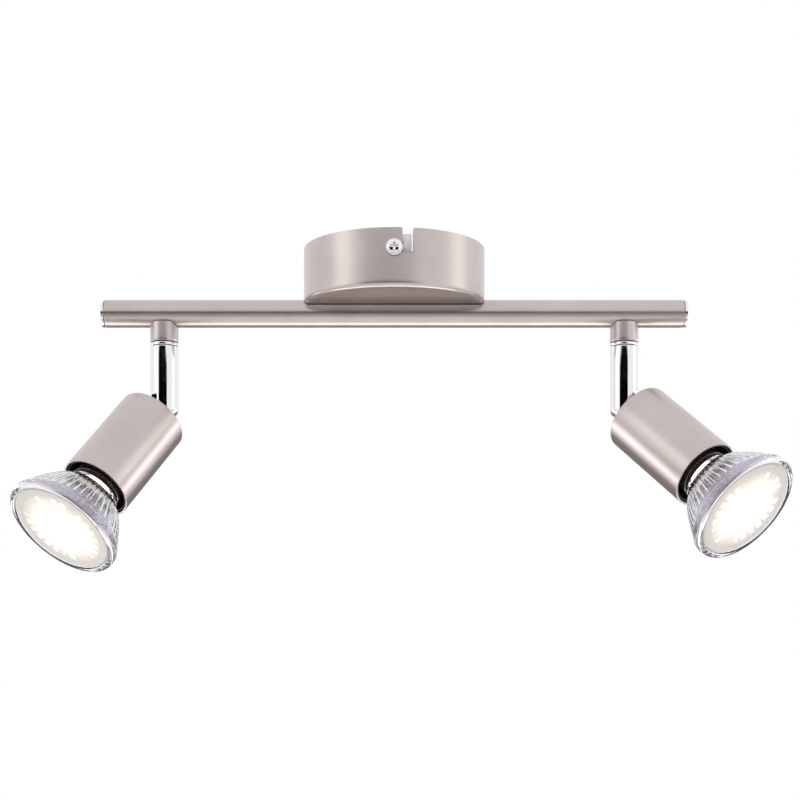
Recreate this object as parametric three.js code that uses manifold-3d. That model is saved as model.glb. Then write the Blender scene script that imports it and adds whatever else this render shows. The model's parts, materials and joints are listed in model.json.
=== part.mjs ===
// Two-lamp ceiling spotlight bar: a round bayonet canopy, a straight tube under it, and two swivel
// arms that each carry a tilting cylindrical spot with a twist-lock reflector lamp.
//
// Frame: millimetres, +Z up. The origin is on the ceiling plane, at the middle of the mounting
// bracket's pad. +X runs along the tube to the right lamp, -Y is the front.
// Pieces that touch keep GAP between them.

import * as THREE from 'three';
import { mergeVertices } from 'three/addons/utils/BufferGeometryUtils.js';
import Module from 'manifold-3d';

const wasm = await Module();
wasm.setup();

// ---------------------------------------------------------------- driving sizes

const GAP = 0.3;

const CANOPY_RADIUS = 40;
const CANOPY_HEIGHT = 24.6;
const CANOPY_WALL = 1.0;
const CANOPY_EDGE_RADIUS = 2.2;

const KEY_OFFSET_ANGLE = 8.2;      // degrees round from the canopy screw to the entry notch
const KEY_WIDTH = 4.5;
const KEY_CORNER_RADIUS = 0.9;

const STRAP_WIDTH = 14.5;
const STRAP_THICKNESS = 1.5;
const STRAP_PAD_LENGTH = 48;       // the stretch that lies on the ceiling
const STRAP_STEP_RUN = 3;
const EAR_TOP_DEPTH = 2.3;         // below the ceiling plane
const EAR_LENGTH = 11.5;
const CEILING_SLOT_WIDTH = 4.8;
const CEILING_SLOT_LENGTH = 14;
const CEILING_SLOT_SPACING = 30;

const CANOPY_SCREW_RADIUS = 1.75;
const CANOPY_SCREW_DEPTH = 8.4;    // axis below the ceiling plane
const CANOPY_SCREW_REACH = 3.5;    // past the ear's outer face
const WASHER_RADIUS = 3.5;
const WASHER_THICKNESS = 0.8;
const CANOPY_SCREW_HEAD_RADIUS = 2.7;
const CANOPY_SCREW_HEAD_HEIGHT = 1.8;
const CANOPY_SCREW_SIDES = 16;

const RECESS_SHARE = 0.68;         // a cross recess's reach as a share of its head's radius
const RECESS_HALF_WIDTH = 0.45;
const RECESS_DEPTH = 1;

const EARTH_SCREW_RADIUS = 1.7;
const EARTH_HEAD_RADIUS = 3.0;
const EARTH_HEAD_HEIGHT = 2.2;
const EARTH_SCREW_REACH = 1;       // past the strap's upper face

const TERMINAL_POLES = 3;
const TERMINAL_PITCH = 7;
const TERMINAL_LENGTH = 14;
const TERMINAL_HEIGHT = 10.5;
const TERMINAL_BORE_RADIUS = 1.7;
const TERMINAL_WELL_RADIUS = 1.5;
const TERMINAL_BORE_SHARE = 0.6;   // of the block's height, down to the wire bores
const TERMINAL_GROOVE_WIDTH = 1;
const TERMINAL_GROOVE_DEPTH = 1.5;

const BAR_LENGTH = 260;            // over its two end caps
const BAR_RADIUS = 6.05;
const BAR_WALL = 1.0;
const BAR_OFFSET = 3.3;            // tube axis below the canopy's flat bottom
const CAP_RIM = 1.2;
const CAP_CROWN = 0.5;
const CAP_SPIGOT = 5;
const CAP_SPIGOT_WALL = 0.8;
const CAP_RIM_CHAMFER = 0.3;

const BAR_SCREW_SPACING = 44;
const BAR_SCREW_RADIUS = 1.5;
const BAR_SCREW_HEAD_RADIUS = 3;
const BAR_SCREW_HEAD_HEIGHT = 2.2;
const BAR_SCREW_REACH = 2;         // into the tube

const BUSHING_BORE_RADIUS = 2.2;
const BUSHING_WALL = 0.8;
const BUSHING_FLANGE = 1.3;        // flange width beyond the bushing's barrel
const BUSHING_FLANGE_THICKNESS = 1;

const ARM_INSET = 27.9;            // swivel axis in from the end of the bar
const ARM_RADIUS = 6.25;
const ARM_WALL = 1.2;
const ARM_TOP_WALL = 1.6;
const ARM_LENGTH = 31.2;
const ARM_END_RADIUS = 3.3;
const SLEEVE_DROP = 6.75;          // sleeve's lower end below the tube
const SLEEVE_LAP = 1.75;           // how far the sleeve's saddle climbs the tube
const RING_HEIGHT = 1.4;
const RING_INSET = 0.1;            // its surface inside the arm's

const NIPPLE_RADIUS = 2.4;
const NIPPLE_BORE_RADIUS = 1.5;
const NIPPLE_STANDOUT = 0.5;       // thread past each nut
const NUT_HEIGHT = 2;
const NUT_SIDE_ROOM = 1.05;        // from the bar nut's flats to the tube's bore

const LEAD_RADIUS = 0.8;
const LEAD_STEPS = 50;
const LEAD_TWIST_ROOM = 1.5;       // from the terminal block, so that the canopy's twist clears it
const CORE_HOLE_RADIUS = 0.6;      // passes one stripped core of a lead

const PIVOT_RISE = 5.2;            // tilt pivot above the arm's lower end
const TONGUE_THICKNESS = 2.8;
const TONGUE_EYE_RADIUS = 4.2;
const PIVOT_SCREW_RADIUS = 1.4;
const PIVOT_HEAD_RADIUS = 2.6;
const PIVOT_HEAD_HEIGHT = 1.9;
const PIVOT_HEAD_INSET = 0.9;      // head's face inside the arm's surface
const PIVOT_THREAD_LENGTH = 2.6;   // in the far cheek

const HOUSING_RADIUS = 15.35;
const HOUSING_LENGTH = 45.5;
const HOUSING_WALL = 0.8;
const HOUSING_TOP_WALL = 1.2;
const HOUSING_EDGE_RADIUS = 0.7;
const HOUSING_STANDOFF = 9.9;      // closed end from the pivot
const LINER_WALL = 0.8;
const LINER_RECESS = 0.8;

const FLANGE_RADIUS = 6.5;
const FLANGE_THICKNESS = 1.6;
const STUD_RADIUS = 3.4;
const STUD_BORE_RADIUS = 2.3;
const HINGE_NUT_HEIGHT = 2.4;
const HINGE_NUT_WALL = 1.6;

const CLIP_THICKNESS = 0.9;
const CLIP_WIDTH = 6;
const CLIP_EYELET_WALL = 2;
const CLIP_LEG_LAP = 7;            // how far the legs reach down the holder's side
const HOLDER_CHAMFER = 0.6;
const HOLDER_BACK_CHAMFER = 1.2;
const HOLDER_DEPTH = 12;
const HOLDER_FACE_THICKNESS = 3;
const HOLDER_BACK_THICKNESS = 1.5;

const BULB_RADIUS = 25;
const BULB_FACE_DISTANCE = 81.1;   // front face from the tilt pivot
const BULB_LENGTH = 46.5;          // without its pins
const BULB_BASE_LENGTH = 19.4;
const BULB_BASE_CLEARANCE = 2.45;  // base to the liner
const BULB_RIM_HEIGHT = 3.8;
const BULB_SHOULDER = 1.3;
const BULB_SHOULDER_DROP = 2;      // from the base to the start of the flare
const BULB_FLARE_POWER = 0.85;     // below 1 the flare widens most near the neck
const BULB_NECK_HOLE_SHARE = 0.55; // of the base's radius
const BULB_RIM_ROUND = 0.6;
const BASE_CHAMFER = 1.5;
const GLASS_WALL = 1.3;
const LENS_THICKNESS = 1.7;
const LENS_INSET = 0.2;            // its face inside the rim's
const PIN_SPREAD = 10;
const PIN_NECK_RADIUS = 1.5;
const PIN_HEAD_RADIUS = 2.4;
const PIN_LENGTH = 7.2;
const PIN_HEAD_HEIGHT = 3;
const PIN_ROOT = 3;                // in the base
const PIN_CHAMFER = 0.5;
const BULB_TWIST = 25;             // degrees from locked to free
const BOARD_THICKNESS = 1.6;
const DIODE_SHARE = 0.6;           // the raised light source's share of the board's radius
const DIODE_HEIGHT = 0.8;
const REFLECTOR_WAIST_SHARE = 0.55;
const REFLECTOR_WALL = 0.8;

// how each lamp stands: turned out from the bar's line towards the front, and tilted up from
// hanging straight down, in degrees
const LAMPS = [
  { name: 'left', side: -1, turn: 52, tilt: 45 },
  { name: 'right', side: 1, turn: 49, tilt: 52.5 },
];

// ---------------------------------------------------------------- places that follow from them

const CANOPY_INNER_RADIUS = CANOPY_RADIUS - CANOPY_WALL;
const BAR_Z = -(CANOPY_HEIGHT + BAR_OFFSET);
const BAR_INNER_RADIUS = BAR_RADIUS - BAR_WALL;
const CHANNEL_RADIUS = BAR_RADIUS + GAP;
const CHANNEL_TOP = BAR_Z + CHANNEL_RADIUS + CANOPY_WALL;
const ARM_X = BAR_LENGTH / 2 - ARM_INSET;
const SLEEVE_BOTTOM = BAR_Z - BAR_RADIUS - SLEEVE_DROP;
const RING_BOTTOM = SLEEVE_BOTTOM - GAP - RING_HEIGHT;
const ARM_TOP = RING_BOTTOM - GAP;
const ARM_BOTTOM = ARM_TOP - ARM_LENGTH;
const PIVOT_Z = ARM_BOTTOM + PIVOT_RISE;
const ARM_BORE_RADIUS = ARM_RADIUS - ARM_WALL;
const SLOT_TOP = PIVOT_Z + TONGUE_EYE_RADIUS + GAP;
const ARM_BORE_FLOOR = SLOT_TOP + 2 * ARM_WALL;
const SLOT_WIDTH = TONGUE_THICKNESS + 2 * GAP;
const BAR_NUT_FLATS = BAR_INNER_RADIUS - NUT_SIDE_ROOM;
const BAR_NUT_SEAT = BAR_Z + GAP - Math.sqrt(BAR_INNER_RADIUS ** 2 - BAR_NUT_FLATS ** 2);
const ARM_NUT_TOP = ARM_TOP - ARM_TOP_WALL - GAP;
const NIPPLE_TOP = BAR_NUT_SEAT + NUT_HEIGHT + NIPPLE_STANDOUT;
const NIPPLE_BOTTOM = ARM_NUT_TOP - NUT_HEIGHT - NIPPLE_STANDOUT;
const EAR_REACH = Math.sqrt((CANOPY_INNER_RADIUS - 2 * GAP) ** 2 - (STRAP_WIDTH / 2) ** 2);
const TERMINAL_TOP = -STRAP_THICKNESS - GAP;
const TERMINAL_BOTTOM = TERMINAL_TOP - TERMINAL_HEIGHT;
const TERMINAL_BORE_Z = TERMINAL_TOP - TERMINAL_HEIGHT * TERMINAL_BORE_SHARE;
const BUSHING_BARREL_RADIUS = BUSHING_BORE_RADIUS + BUSHING_WALL;
const BUSHING_SEAT = CHANNEL_TOP + GAP;
const BUSHING_TOP = BUSHING_SEAT + BUSHING_FLANGE_THICKNESS;

const FLANGE_TOP = -(HOUSING_STANDOFF - GAP - FLANGE_THICKNESS);
const HOUSING_TOP = -HOUSING_STANDOFF;
const HOUSING_INNER_RADIUS = HOUSING_RADIUS - HOUSING_WALL;
const HOUSING_CEILING = HOUSING_TOP - HOUSING_TOP_WALL;
const HOUSING_MOUTH = HOUSING_TOP - HOUSING_LENGTH;
const LINER_INNER_RADIUS = HOUSING_INNER_RADIUS - GAP - LINER_WALL;
const CLIP_OUTER_HALF = Math.sqrt((LINER_INNER_RADIUS - GAP) ** 2 - (CLIP_WIDTH / 2) ** 2);
const HOLDER_RADIUS = CLIP_OUTER_HALF - CLIP_THICKNESS - GAP;
const BULB_SEAT = -(BULB_FACE_DISTANCE - BULB_LENGTH);
const HOLDER_FACE = BULB_SEAT + GAP;
const HOLDER_BACK = HOLDER_FACE + HOLDER_DEPTH;
const CLIP_TOP = HOUSING_CEILING - GAP;
const HINGE_NUT_TOP = CLIP_TOP - CLIP_THICKNESS - GAP;
const STUD_END = HINGE_NUT_TOP - HINGE_NUT_HEIGHT - NIPPLE_STANDOUT;
const HOLDER_CHAMBER_ROOF = HOLDER_BACK - HOLDER_BACK_THICKNESS;
const BULB_BASE_RADIUS = LINER_INNER_RADIUS - BULB_BASE_CLEARANCE;
const BULB_FACE = -BULB_LENGTH;
const LENS_SEAT_RADIUS = BULB_RADIUS - 2 * GLASS_WALL + BULB_RIM_ROUND;
const GLASS_START = -(BULB_BASE_LENGTH + GAP);
const GLASS_FLOOR = GLASS_START - 2 * GLASS_WALL;
const FLARE_START = GLASS_START - BULB_SHOULDER_DROP;
const RIM_BACK = -(BULB_LENGTH - BULB_RIM_HEIGHT);
const BOARD_BACK = GLASS_FLOOR - GAP;

// ---------------------------------------------------------------- finishes

const finish = (color, roughness, metalness) =>
  new THREE.MeshStandardMaterial({ color, roughness, metalness });

const SATIN_NICKEL = finish(0xb3a9a6, 0.34, 1);
const CHROME = finish(0xe4e4e6, 0.08, 1);
const ZINC = finish(0xcfcfd0, 0.4, 1);
const STEEL = finish(0xb9b9bb, 0.3, 1);
const BLACK_LINING = finish(0x332c29, 0.6, 0);
const WHITE_CERAMIC = finish(0xe9e6df, 0.5, 0);
const CLEAR_PLASTIC = finish(0xf0f0ec, 0.3, 0);
const RUBBER = finish(0x222222, 0.8, 0);
const LEAD_SLEEVE = finish(0xe6e2d8, 0.6, 0);
const GLASS = finish(0xe8e6ee, 0.05, 0);
const BASE_GLASS = finish(0x4a4340, 0.15, 0);
const LED_BOARD = finish(0xfffdf7, 0.5, 0);
const MIRROR_PLASTIC = finish(0xf5efe6, 0.15, 0.6);

// ---------------------------------------------------------------- shape helpers

const radians = THREE.MathUtils.degToRad;

// number of flats for a round surface, finer where it is larger
const FLATS_ABOVE_RADIUS = [[30, 48], [12, 28], [5, 20], [2, 12], [0, 8]];
const sidesFor = (radius) => FLATS_ABOVE_RADIUS.find(([above]) => radius > above)[1];

// points of a circular arc in a profile, angles in degrees
function arc(centreR, centreZ, radius, from, to, steps = 4) {
  return Array.from({ length: steps + 1 }, (_, i) => {
    const angle = radians(from + ((to - from) * i) / steps);
    return [centreR + radius * Math.cos(angle), centreZ + radius * Math.sin(angle)];
  });
}

// a solid of revolution about Z from [radius, z] points; it closes itself unless it ends on the axis
function turned(profile, sides) {
  const points = profile.map(([r, z]) => new THREE.Vector2(r, z));
  if (THREE.ShapeUtils.area(points) < 0) points.reverse();
  const onAxis = points[0].x === 0 && points[points.length - 1].x === 0;
  if (!onAxis) points.push(points[0].clone());
  const widest = Math.max(...profile.map(([r]) => r));
  return new THREE.LatheGeometry(points, sides ?? sidesFor(widest)).rotateX(Math.PI / 2);
}

const rod = (radius, z0, z1, sides) => turned([[0, z0], [radius, z0], [radius, z1], [0, z1]], sides);

const pipe = (inner, outer, z0, z1, sides) =>
  turned([[inner, z0], [outer, z0], [outer, z1], [inner, z1]], sides);

function block(x0, x1, y0, y1, z0, z1) {
  const box = new THREE.BoxGeometry(x1 - x0, y1 - y0, z1 - z0);
  return box.translate((x0 + x1) / 2, (y0 + y1) / 2, (z0 + z1) / 2);
}

// turn a shape made along Z so that it lies along X or Y
const alongX = (geometry) => geometry.rotateY(Math.PI / 2);
const alongY = (geometry) => geometry.rotateX(-Math.PI / 2);

// an outline drawn in the XZ plane, thick along Y and centred on it
function slabXZ(shape, thickness) {
  const geometry = new THREE.ExtrudeGeometry(shape, { depth: thickness, bevelEnabled: false });
  return geometry.rotateX(Math.PI / 2).translate(0, thickness / 2, 0);
}

// an outline drawn in the XY plane, standing from z0 to z1
function slabXY(shape, z0, z1, curveSegments = 8) {
  const options = { depth: z1 - z0, bevelEnabled: false, curveSegments };
  return new THREE.ExtrudeGeometry(shape, options).translate(0, 0, z0);
}

function capsule(length, width) {
  const run = (length - width) / 2;
  const shape = new THREE.Shape();
  shape.absarc(0, run, width / 2, 0, Math.PI, false);
  shape.absarc(0, -run, width / 2, Math.PI, 2 * Math.PI, false);
  return shape;
}

// part of a ring between two radii and two angles in degrees
function ringSector(inner, outer, from, to) {
  const shape = new THREE.Shape();
  shape.absarc(0, 0, outer, radians(from), radians(to), false);
  shape.absarc(0, 0, inner, radians(to), radians(from), true);
  return shape;
}

function toSolid(geometry) {
  const bare = geometry.clone();
  bare.deleteAttribute('normal');
  bare.deleteAttribute('uv');
  const merged = mergeVertices(bare, 1e-4);
  const corners = merged.index.array;
  const kept = [];
  for (let i = 0; i < corners.length; i += 3) {
    const [a, b, c] = corners.slice(i, i + 3);
    if (a !== b && b !== c && c !== a) kept.push(a, b, c);
  }
  const vertProperties = merged.attributes.position.array;
  const triVerts = new Uint32Array(kept);
  return new wasm.Manifold(new wasm.Mesh({ numProp: 3, vertProperties, triVerts }));
}

function toGeometry(solid) {
  const mesh = solid.getMesh();
  const geometry = new THREE.BufferGeometry();
  geometry.setAttribute('position', new THREE.BufferAttribute(mesh.vertProperties, 3));
  geometry.setIndex(new THREE.BufferAttribute(mesh.triVerts, 1));
  geometry.computeVertexNormals();
  return geometry;
}

// one geometry made of everything in keep, less everything in remove
function shaped(keep, remove = []) {
  const body = keep.map(toSolid).reduce((whole, part) => whole.add(part));
  return toGeometry(remove.map(toSolid).reduce((whole, part) => whole.subtract(part), body));
}

function piece(name, geometry, material) {
  const mesh = new THREE.Mesh(geometry, material);
  mesh.name = name;
  return mesh;
}

// hexagonal nut with flats facing front and back, half the width across flats given
function hexNut(halfFlats, hole, z0, z1) {
  const corner = halfFlats / Math.cos(Math.PI / 6);
  return shaped([rod(corner, z0, z1, 6).rotateZ(Math.PI / 6)], [rod(hole, z0 - 1, z1 + 1)]);
}

// round lead along a smooth curve through the given points
function leadAlong(points) {
  const section = new THREE.Shape();
  section.absarc(0, 0, LEAD_RADIUS, 0, 2 * Math.PI, false);
  const extrudePath = new THREE.CatmullRomCurve3(points.map((p) => new THREE.Vector3(...p)));
  return new THREE.ExtrudeGeometry(section, { steps: LEAD_STEPS, extrudePath, curveSegments: 3 });
}

// two crossed bars that cut a cross recess into a screw head's face
function crossRecess(headRadius, face) {
  const reach = RECESS_SHARE * headRadius;
  const low = face - RECESS_DEPTH;
  const high = face + RECESS_DEPTH;
  return [
    block(-reach, reach, -RECESS_HALF_WIDTH, RECESS_HALF_WIDTH, low, high),
    block(-RECESS_HALF_WIDTH, RECESS_HALF_WIDTH, -reach, reach, low, high),
  ];
}

// ---------------------------------------------------------------- bracket and what it carries

function mountingBracket() {
  const padHalf = STRAP_PAD_LENGTH / 2;
  const stepEnd = padHalf + STRAP_STEP_RUN;
  const bend = STRAP_THICKNESS * Math.tan(Math.atan2(EAR_TOP_DEPTH, STRAP_STEP_RUN) / 2);
  const lower = -EAR_TOP_DEPTH;
  const half = [
    [padHalf, 0],
    [stepEnd, lower],
    [EAR_REACH, lower],
    [EAR_REACH, lower - EAR_LENGTH],
    [EAR_REACH - STRAP_THICKNESS, lower - EAR_LENGTH],
    [EAR_REACH - STRAP_THICKNESS, lower - STRAP_THICKNESS],
    [stepEnd - bend, lower - STRAP_THICKNESS],
    [padHalf - bend, -STRAP_THICKNESS],
  ];
  const mirrored = half.map(([y, z]) => [-y, z]).reverse();
  const outline = new THREE.Shape([...half, ...mirrored].map(([y, z]) => new THREE.Vector2(y, z)));
  const axes = new THREE.Matrix4().makeBasis(
    new THREE.Vector3(0, 1, 0), new THREE.Vector3(0, 0, 1), new THREE.Vector3(1, 0, 0));
  const strap = new THREE.ExtrudeGeometry(outline, { depth: STRAP_WIDTH, bevelEnabled: false })
    .applyMatrix4(axes).translate(-STRAP_WIDTH / 2, 0, 0);

  const ceilingSlots = [-1, 1].map((end) =>
    slabXY(capsule(CEILING_SLOT_LENGTH, CEILING_SLOT_WIDTH), -STRAP_THICKNESS - 1, 1)
      .translate(0, (end * CEILING_SLOT_SPACING) / 2, 0));
  const earHoles = alongY(rod(CANOPY_SCREW_RADIUS + GAP, -CANOPY_RADIUS, CANOPY_RADIUS))
    .translate(0, 0, -CANOPY_SCREW_DEPTH);
  const earthHole = rod(EARTH_SCREW_RADIUS + GAP, -EAR_TOP_DEPTH - 2 * STRAP_THICKNESS, 0)
    .translate(0, earthScrewY(), 0);
  return shaped([strap], [...ceilingSlots, earHoles, earthHole]);
}

const earthScrewY = () => STRAP_PAD_LENGTH / 2 + STRAP_STEP_RUN + EARTH_HEAD_RADIUS + GAP;

function earthScrew() {
  const seat = -EAR_TOP_DEPTH - STRAP_THICKNESS - GAP;
  const face = seat - EARTH_HEAD_HEIGHT;
  const head = rod(EARTH_HEAD_RADIUS, face, seat);
  const shank = rod(EARTH_SCREW_RADIUS, face, -EAR_TOP_DEPTH + EARTH_SCREW_REACH);
  const recess = crossRecess(EARTH_HEAD_RADIUS, face);
  return shaped([head, shank], recess).translate(0, earthScrewY(), 0);
}

// flanged pan-head screw that holds the canopy to the bracket's ear, made pointing down for the
// front ear: its axis is laid along Y afterwards
function canopyScrew() {
  const washerFace = CANOPY_RADIUS + GAP;
  const headBase = washerFace + WASHER_THICKNESS;
  const headTop = headBase + CANOPY_SCREW_HEAD_HEIGHT;
  const tip = EAR_REACH - STRAP_THICKNESS - CANOPY_SCREW_REACH;
  const profile = [
    [0, tip], [CANOPY_SCREW_RADIUS, tip], [CANOPY_SCREW_RADIUS, washerFace],
    [WASHER_RADIUS, washerFace], [WASHER_RADIUS, headBase], [CANOPY_SCREW_HEAD_RADIUS, headBase],
    [CANOPY_SCREW_HEAD_RADIUS, headTop - 0.9], [CANOPY_SCREW_HEAD_RADIUS - 0.5, headTop - 0.3],
    [CANOPY_SCREW_HEAD_RADIUS - 1.2, headTop], [0, headTop],
  ];
  const recess = crossRecess(CANOPY_SCREW_HEAD_RADIUS, headTop);
  return shaped([turned(profile, CANOPY_SCREW_SIDES)], recess)
    .rotateX(Math.PI / 2).translate(0, 0, -CANOPY_SCREW_DEPTH);
}

function terminalBlock() {
  const halfWidth = (TERMINAL_POLES * TERMINAL_PITCH) / 2;
  const body = block(
    -halfWidth, halfWidth, -TERMINAL_LENGTH / 2, TERMINAL_LENGTH / 2, TERMINAL_BOTTOM, TERMINAL_TOP);
  const poles = Array.from({ length: TERMINAL_POLES }, (_, i) => (i + 0.5) * TERMINAL_PITCH - halfWidth);
  const bores = poles.map((x) =>
    alongY(rod(TERMINAL_BORE_RADIUS, -TERMINAL_LENGTH, TERMINAL_LENGTH))
      .translate(x, 0, TERMINAL_BORE_Z));
  const wells = poles.map((x) =>
    rod(TERMINAL_WELL_RADIUS, TERMINAL_BOTTOM - 1, TERMINAL_BORE_Z).translate(x, 0, 0));
  const groove = TERMINAL_GROOVE_WIDTH / 2;
  const grooveTop = TERMINAL_BOTTOM + TERMINAL_GROOVE_DEPTH;
  const grooves = poles.slice(1).map((x) =>
    block(-groove, groove, -TERMINAL_LENGTH, TERMINAL_LENGTH, TERMINAL_BOTTOM - 1, grooveTop)
      .translate(x - TERMINAL_PITCH / 2, 0, 0));
  return shaped([body], [...bores, ...wells, ...grooves]);
}

// ---------------------------------------------------------------- canopy and tube

// notch and bayonet slot in the canopy's front wall
function keySlot() {
  const half = KEY_WIDTH / 2;
  const corner = KEY_CORNER_RADIUS;
  const slotHalf = CANOPY_SCREW_RADIUS + GAP;
  const bottom = -CANOPY_SCREW_DEPTH - slotHalf;
  const notch = new THREE.Shape();
  notch.moveTo(-half - corner, 1);
  notch.absarc(-half - corner, -corner, corner, Math.PI / 2, 0, true);
  notch.lineTo(-half, bottom);
  notch.lineTo(half, bottom);
  notch.absarc(half + corner, -corner, corner, Math.PI, Math.PI / 2, true);
  notch.lineTo(half + corner, 1);
  const entry = slabXZ(notch, 6 * CANOPY_WALL)
    .translate(0, -(CANOPY_RADIUS + CANOPY_INNER_RADIUS) / 2, 0)
    .rotateZ(radians(KEY_OFFSET_ANGLE));
  const shankAngle = THREE.MathUtils.radToDeg(Math.asin(slotHalf / CANOPY_INNER_RADIUS));
  const run = slabXY(
    ringSector(CANOPY_INNER_RADIUS - 2, CANOPY_RADIUS + 2, -90 - shankAngle, -90 + KEY_OFFSET_ANGLE),
    bottom, -CANOPY_SCREW_DEPTH + slotHalf);
  return [entry, run];
}

function canopy() {
  const bottom = -CANOPY_HEIGHT;
  const edge = CANOPY_EDGE_RADIUS;
  const innerEdge = Math.max(edge - CANOPY_WALL, 0.2);
  const outerArc = arc(CANOPY_RADIUS - edge, bottom + edge, edge, -90, 0, 3);
  const innerArc = arc(
    CANOPY_INNER_RADIUS - innerEdge, bottom + CANOPY_WALL + innerEdge, innerEdge, 0, -90, 2);
  const cup = turned([
    [0, bottom], ...outerArc, [CANOPY_RADIUS, 0], [CANOPY_INNER_RADIUS, 0], ...innerArc,
    [0, bottom + CANOPY_WALL],
  ]);
  const above = CHANNEL_TOP + CANOPY_WALL;
  const filled = turned([[0, bottom], ...outerArc, [CANOPY_RADIUS, above], [0, above]]);
  const alongTube = (radius) =>
    alongX(rod(radius, -CANOPY_RADIUS - 1, CANOPY_RADIUS + 1, sidesFor(BAR_RADIUS)))
      .translate(0, 0, BAR_Z);
  const channel = toSolid(alongTube(CHANNEL_RADIUS + CANOPY_WALL));
  const ridge = toGeometry(channel.intersect(toSolid(filled)));
  const rearKey = keySlot().map((cutter) => cutter.rotateZ(Math.PI));
  return shaped(
    [cup, ridge], [alongTube(CHANNEL_RADIUS), ...holesIntoTube(), ...keySlot(), ...rearKey]);
}

// the bushing's hole and the two screws' holes, which pass from the canopy into the tube
const holesIntoTube = () => [
  rod(BUSHING_BARREL_RADIUS + GAP, BAR_Z, BUSHING_TOP),
  ...[-1, 1].map((end) =>
    rod(BAR_SCREW_RADIUS + GAP, BAR_Z, BUSHING_TOP).translate((end * BAR_SCREW_SPACING) / 2, 0, 0)),
];

function barTube() {
  const halfLength = BAR_LENGTH / 2 - CAP_CROWN - CAP_RIM - GAP;
  const tube = alongX(pipe(BAR_INNER_RADIUS, BAR_RADIUS, -halfLength, halfLength)).translate(0, 0, BAR_Z);
  const nippleHoles = [-1, 1].map((end) =>
    rod(NIPPLE_RADIUS + GAP, ARM_TOP, BAR_Z).translate(end * ARM_X, 0, 0));
  return shaped([tube], [...holesIntoTube(), ...nippleHoles]);
}

function endCap(side) {
  const outer = BAR_LENGTH / 2;
  const rimFace = outer - CAP_CROWN;
  const back = rimFace - CAP_RIM;
  const spigot = BAR_INNER_RADIUS - GAP;
  const hollow = spigot - CAP_SPIGOT_WALL;
  const profile = [
    [0, outer], [BAR_RADIUS / 2, outer - CAP_CROWN / 4], [BAR_RADIUS - CAP_RIM_CHAMFER, rimFace],
    [BAR_RADIUS, rimFace - CAP_RIM_CHAMFER], [BAR_RADIUS, back], [spigot, back],
    [spigot, back - CAP_SPIGOT], [hollow, back - CAP_SPIGOT], [hollow, back], [0, back],
  ];
  const cap = alongX(turned(profile)).translate(0, 0, BAR_Z);
  return side > 0 ? cap : cap.rotateZ(Math.PI);
}

function barScrew(end) {
  const seat = CHANNEL_TOP + GAP;
  const top = seat + BAR_SCREW_HEAD_HEIGHT;
  const head = rod(BAR_SCREW_HEAD_RADIUS, seat, top);
  const shank = rod(BAR_SCREW_RADIUS, BAR_Z + BAR_INNER_RADIUS - BAR_SCREW_REACH, top);
  return shaped([head, shank], crossRecess(BAR_SCREW_HEAD_RADIUS, top))
    .translate((end * BAR_SCREW_SPACING) / 2, 0, 0);
}

function cableBushing() {
  const barrel = BUSHING_BARREL_RADIUS;
  const flange = barrel + BUSHING_FLANGE;
  const low = BAR_Z + BAR_INNER_RADIUS - BUSHING_WALL;
  return turned([
    [BUSHING_BORE_RADIUS, low], [barrel, low], [barrel, BUSHING_SEAT], [flange, BUSHING_SEAT],
    [flange, BUSHING_TOP], [BUSHING_BORE_RADIUS, BUSHING_TOP],
  ]);
}

// the lead that runs from the terminal block through the bushing and the tube to one arm
function barLead(side) {
  const inBushing = side * (LEAD_RADIUS + GAP / 2);
  const poleX = side * TERMINAL_PITCH;
  const blockFace = -TERMINAL_LENGTH / 2;
  const runZ = NIPPLE_TOP + LEAD_RADIUS + 5 * GAP;
  const armX = side * ARM_X;
  return leadAlong([
    [poleX, blockFace - LEAD_TWIST_ROOM, TERMINAL_BORE_Z],
    [poleX, blockFace - 2.5 * LEAD_TWIST_ROOM, TERMINAL_BORE_Z - 1],
    [poleX * 0.7, blockFace - 2 * LEAD_TWIST_ROOM, (TERMINAL_BOTTOM + BUSHING_TOP) / 2],
    [inBushing * 1.6, -2.6, BUSHING_TOP + 2.2],
    [inBushing, 0, BUSHING_TOP - 0.6],
    [inBushing, 0, BAR_Z + BAR_INNER_RADIUS - 1],
    [inBushing + side * 3.5, 0, runZ + 0.3],
    [inBushing + side * 9, 0, runZ],
    [armX * 0.5, 0, runZ],
    [armX - side * 9, 0, runZ],
    [armX - side * 2.6, 0, runZ - 0.4],
    [armX, 0, NIPPLE_TOP - 0.8],
    [armX, 0, NIPPLE_TOP - 4],
    [armX, 0, (NIPPLE_TOP + NIPPLE_BOTTOM) / 2],
    [armX, 0, NIPPLE_BOTTOM - GAP],
  ]);
}

// ---------------------------------------------------------------- swivel joint, made on the Z axis

function sleeve() {
  const top = BAR_Z - BAR_RADIUS + SLEEVE_LAP;
  const bar = alongX(rod(CHANNEL_RADIUS, -3 * ARM_RADIUS, 3 * ARM_RADIUS, sidesFor(BAR_RADIUS)))
    .translate(0, 0, BAR_Z);
  return shaped([rod(ARM_RADIUS, SLEEVE_BOTTOM, top)],
    [bar, rod(NIPPLE_RADIUS + GAP, SLEEVE_BOTTOM - 1, BAR_Z)]);
}

const swivelRing = () =>
  pipe(NIPPLE_RADIUS + GAP, ARM_RADIUS - RING_INSET, RING_BOTTOM, RING_BOTTOM + RING_HEIGHT);

const nipple = () => pipe(NIPPLE_BORE_RADIUS, NIPPLE_RADIUS, NIPPLE_BOTTOM, NIPPLE_TOP);

const barNut = () => hexNut(BAR_NUT_FLATS, NIPPLE_RADIUS + GAP, BAR_NUT_SEAT, BAR_NUT_SEAT + NUT_HEIGHT);

const armNut = () => hexNut(
  (ARM_BORE_RADIUS - GAP) * Math.cos(Math.PI / 6), NIPPLE_RADIUS + GAP,
  ARM_NUT_TOP - NUT_HEIGHT, ARM_NUT_TOP);

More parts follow.
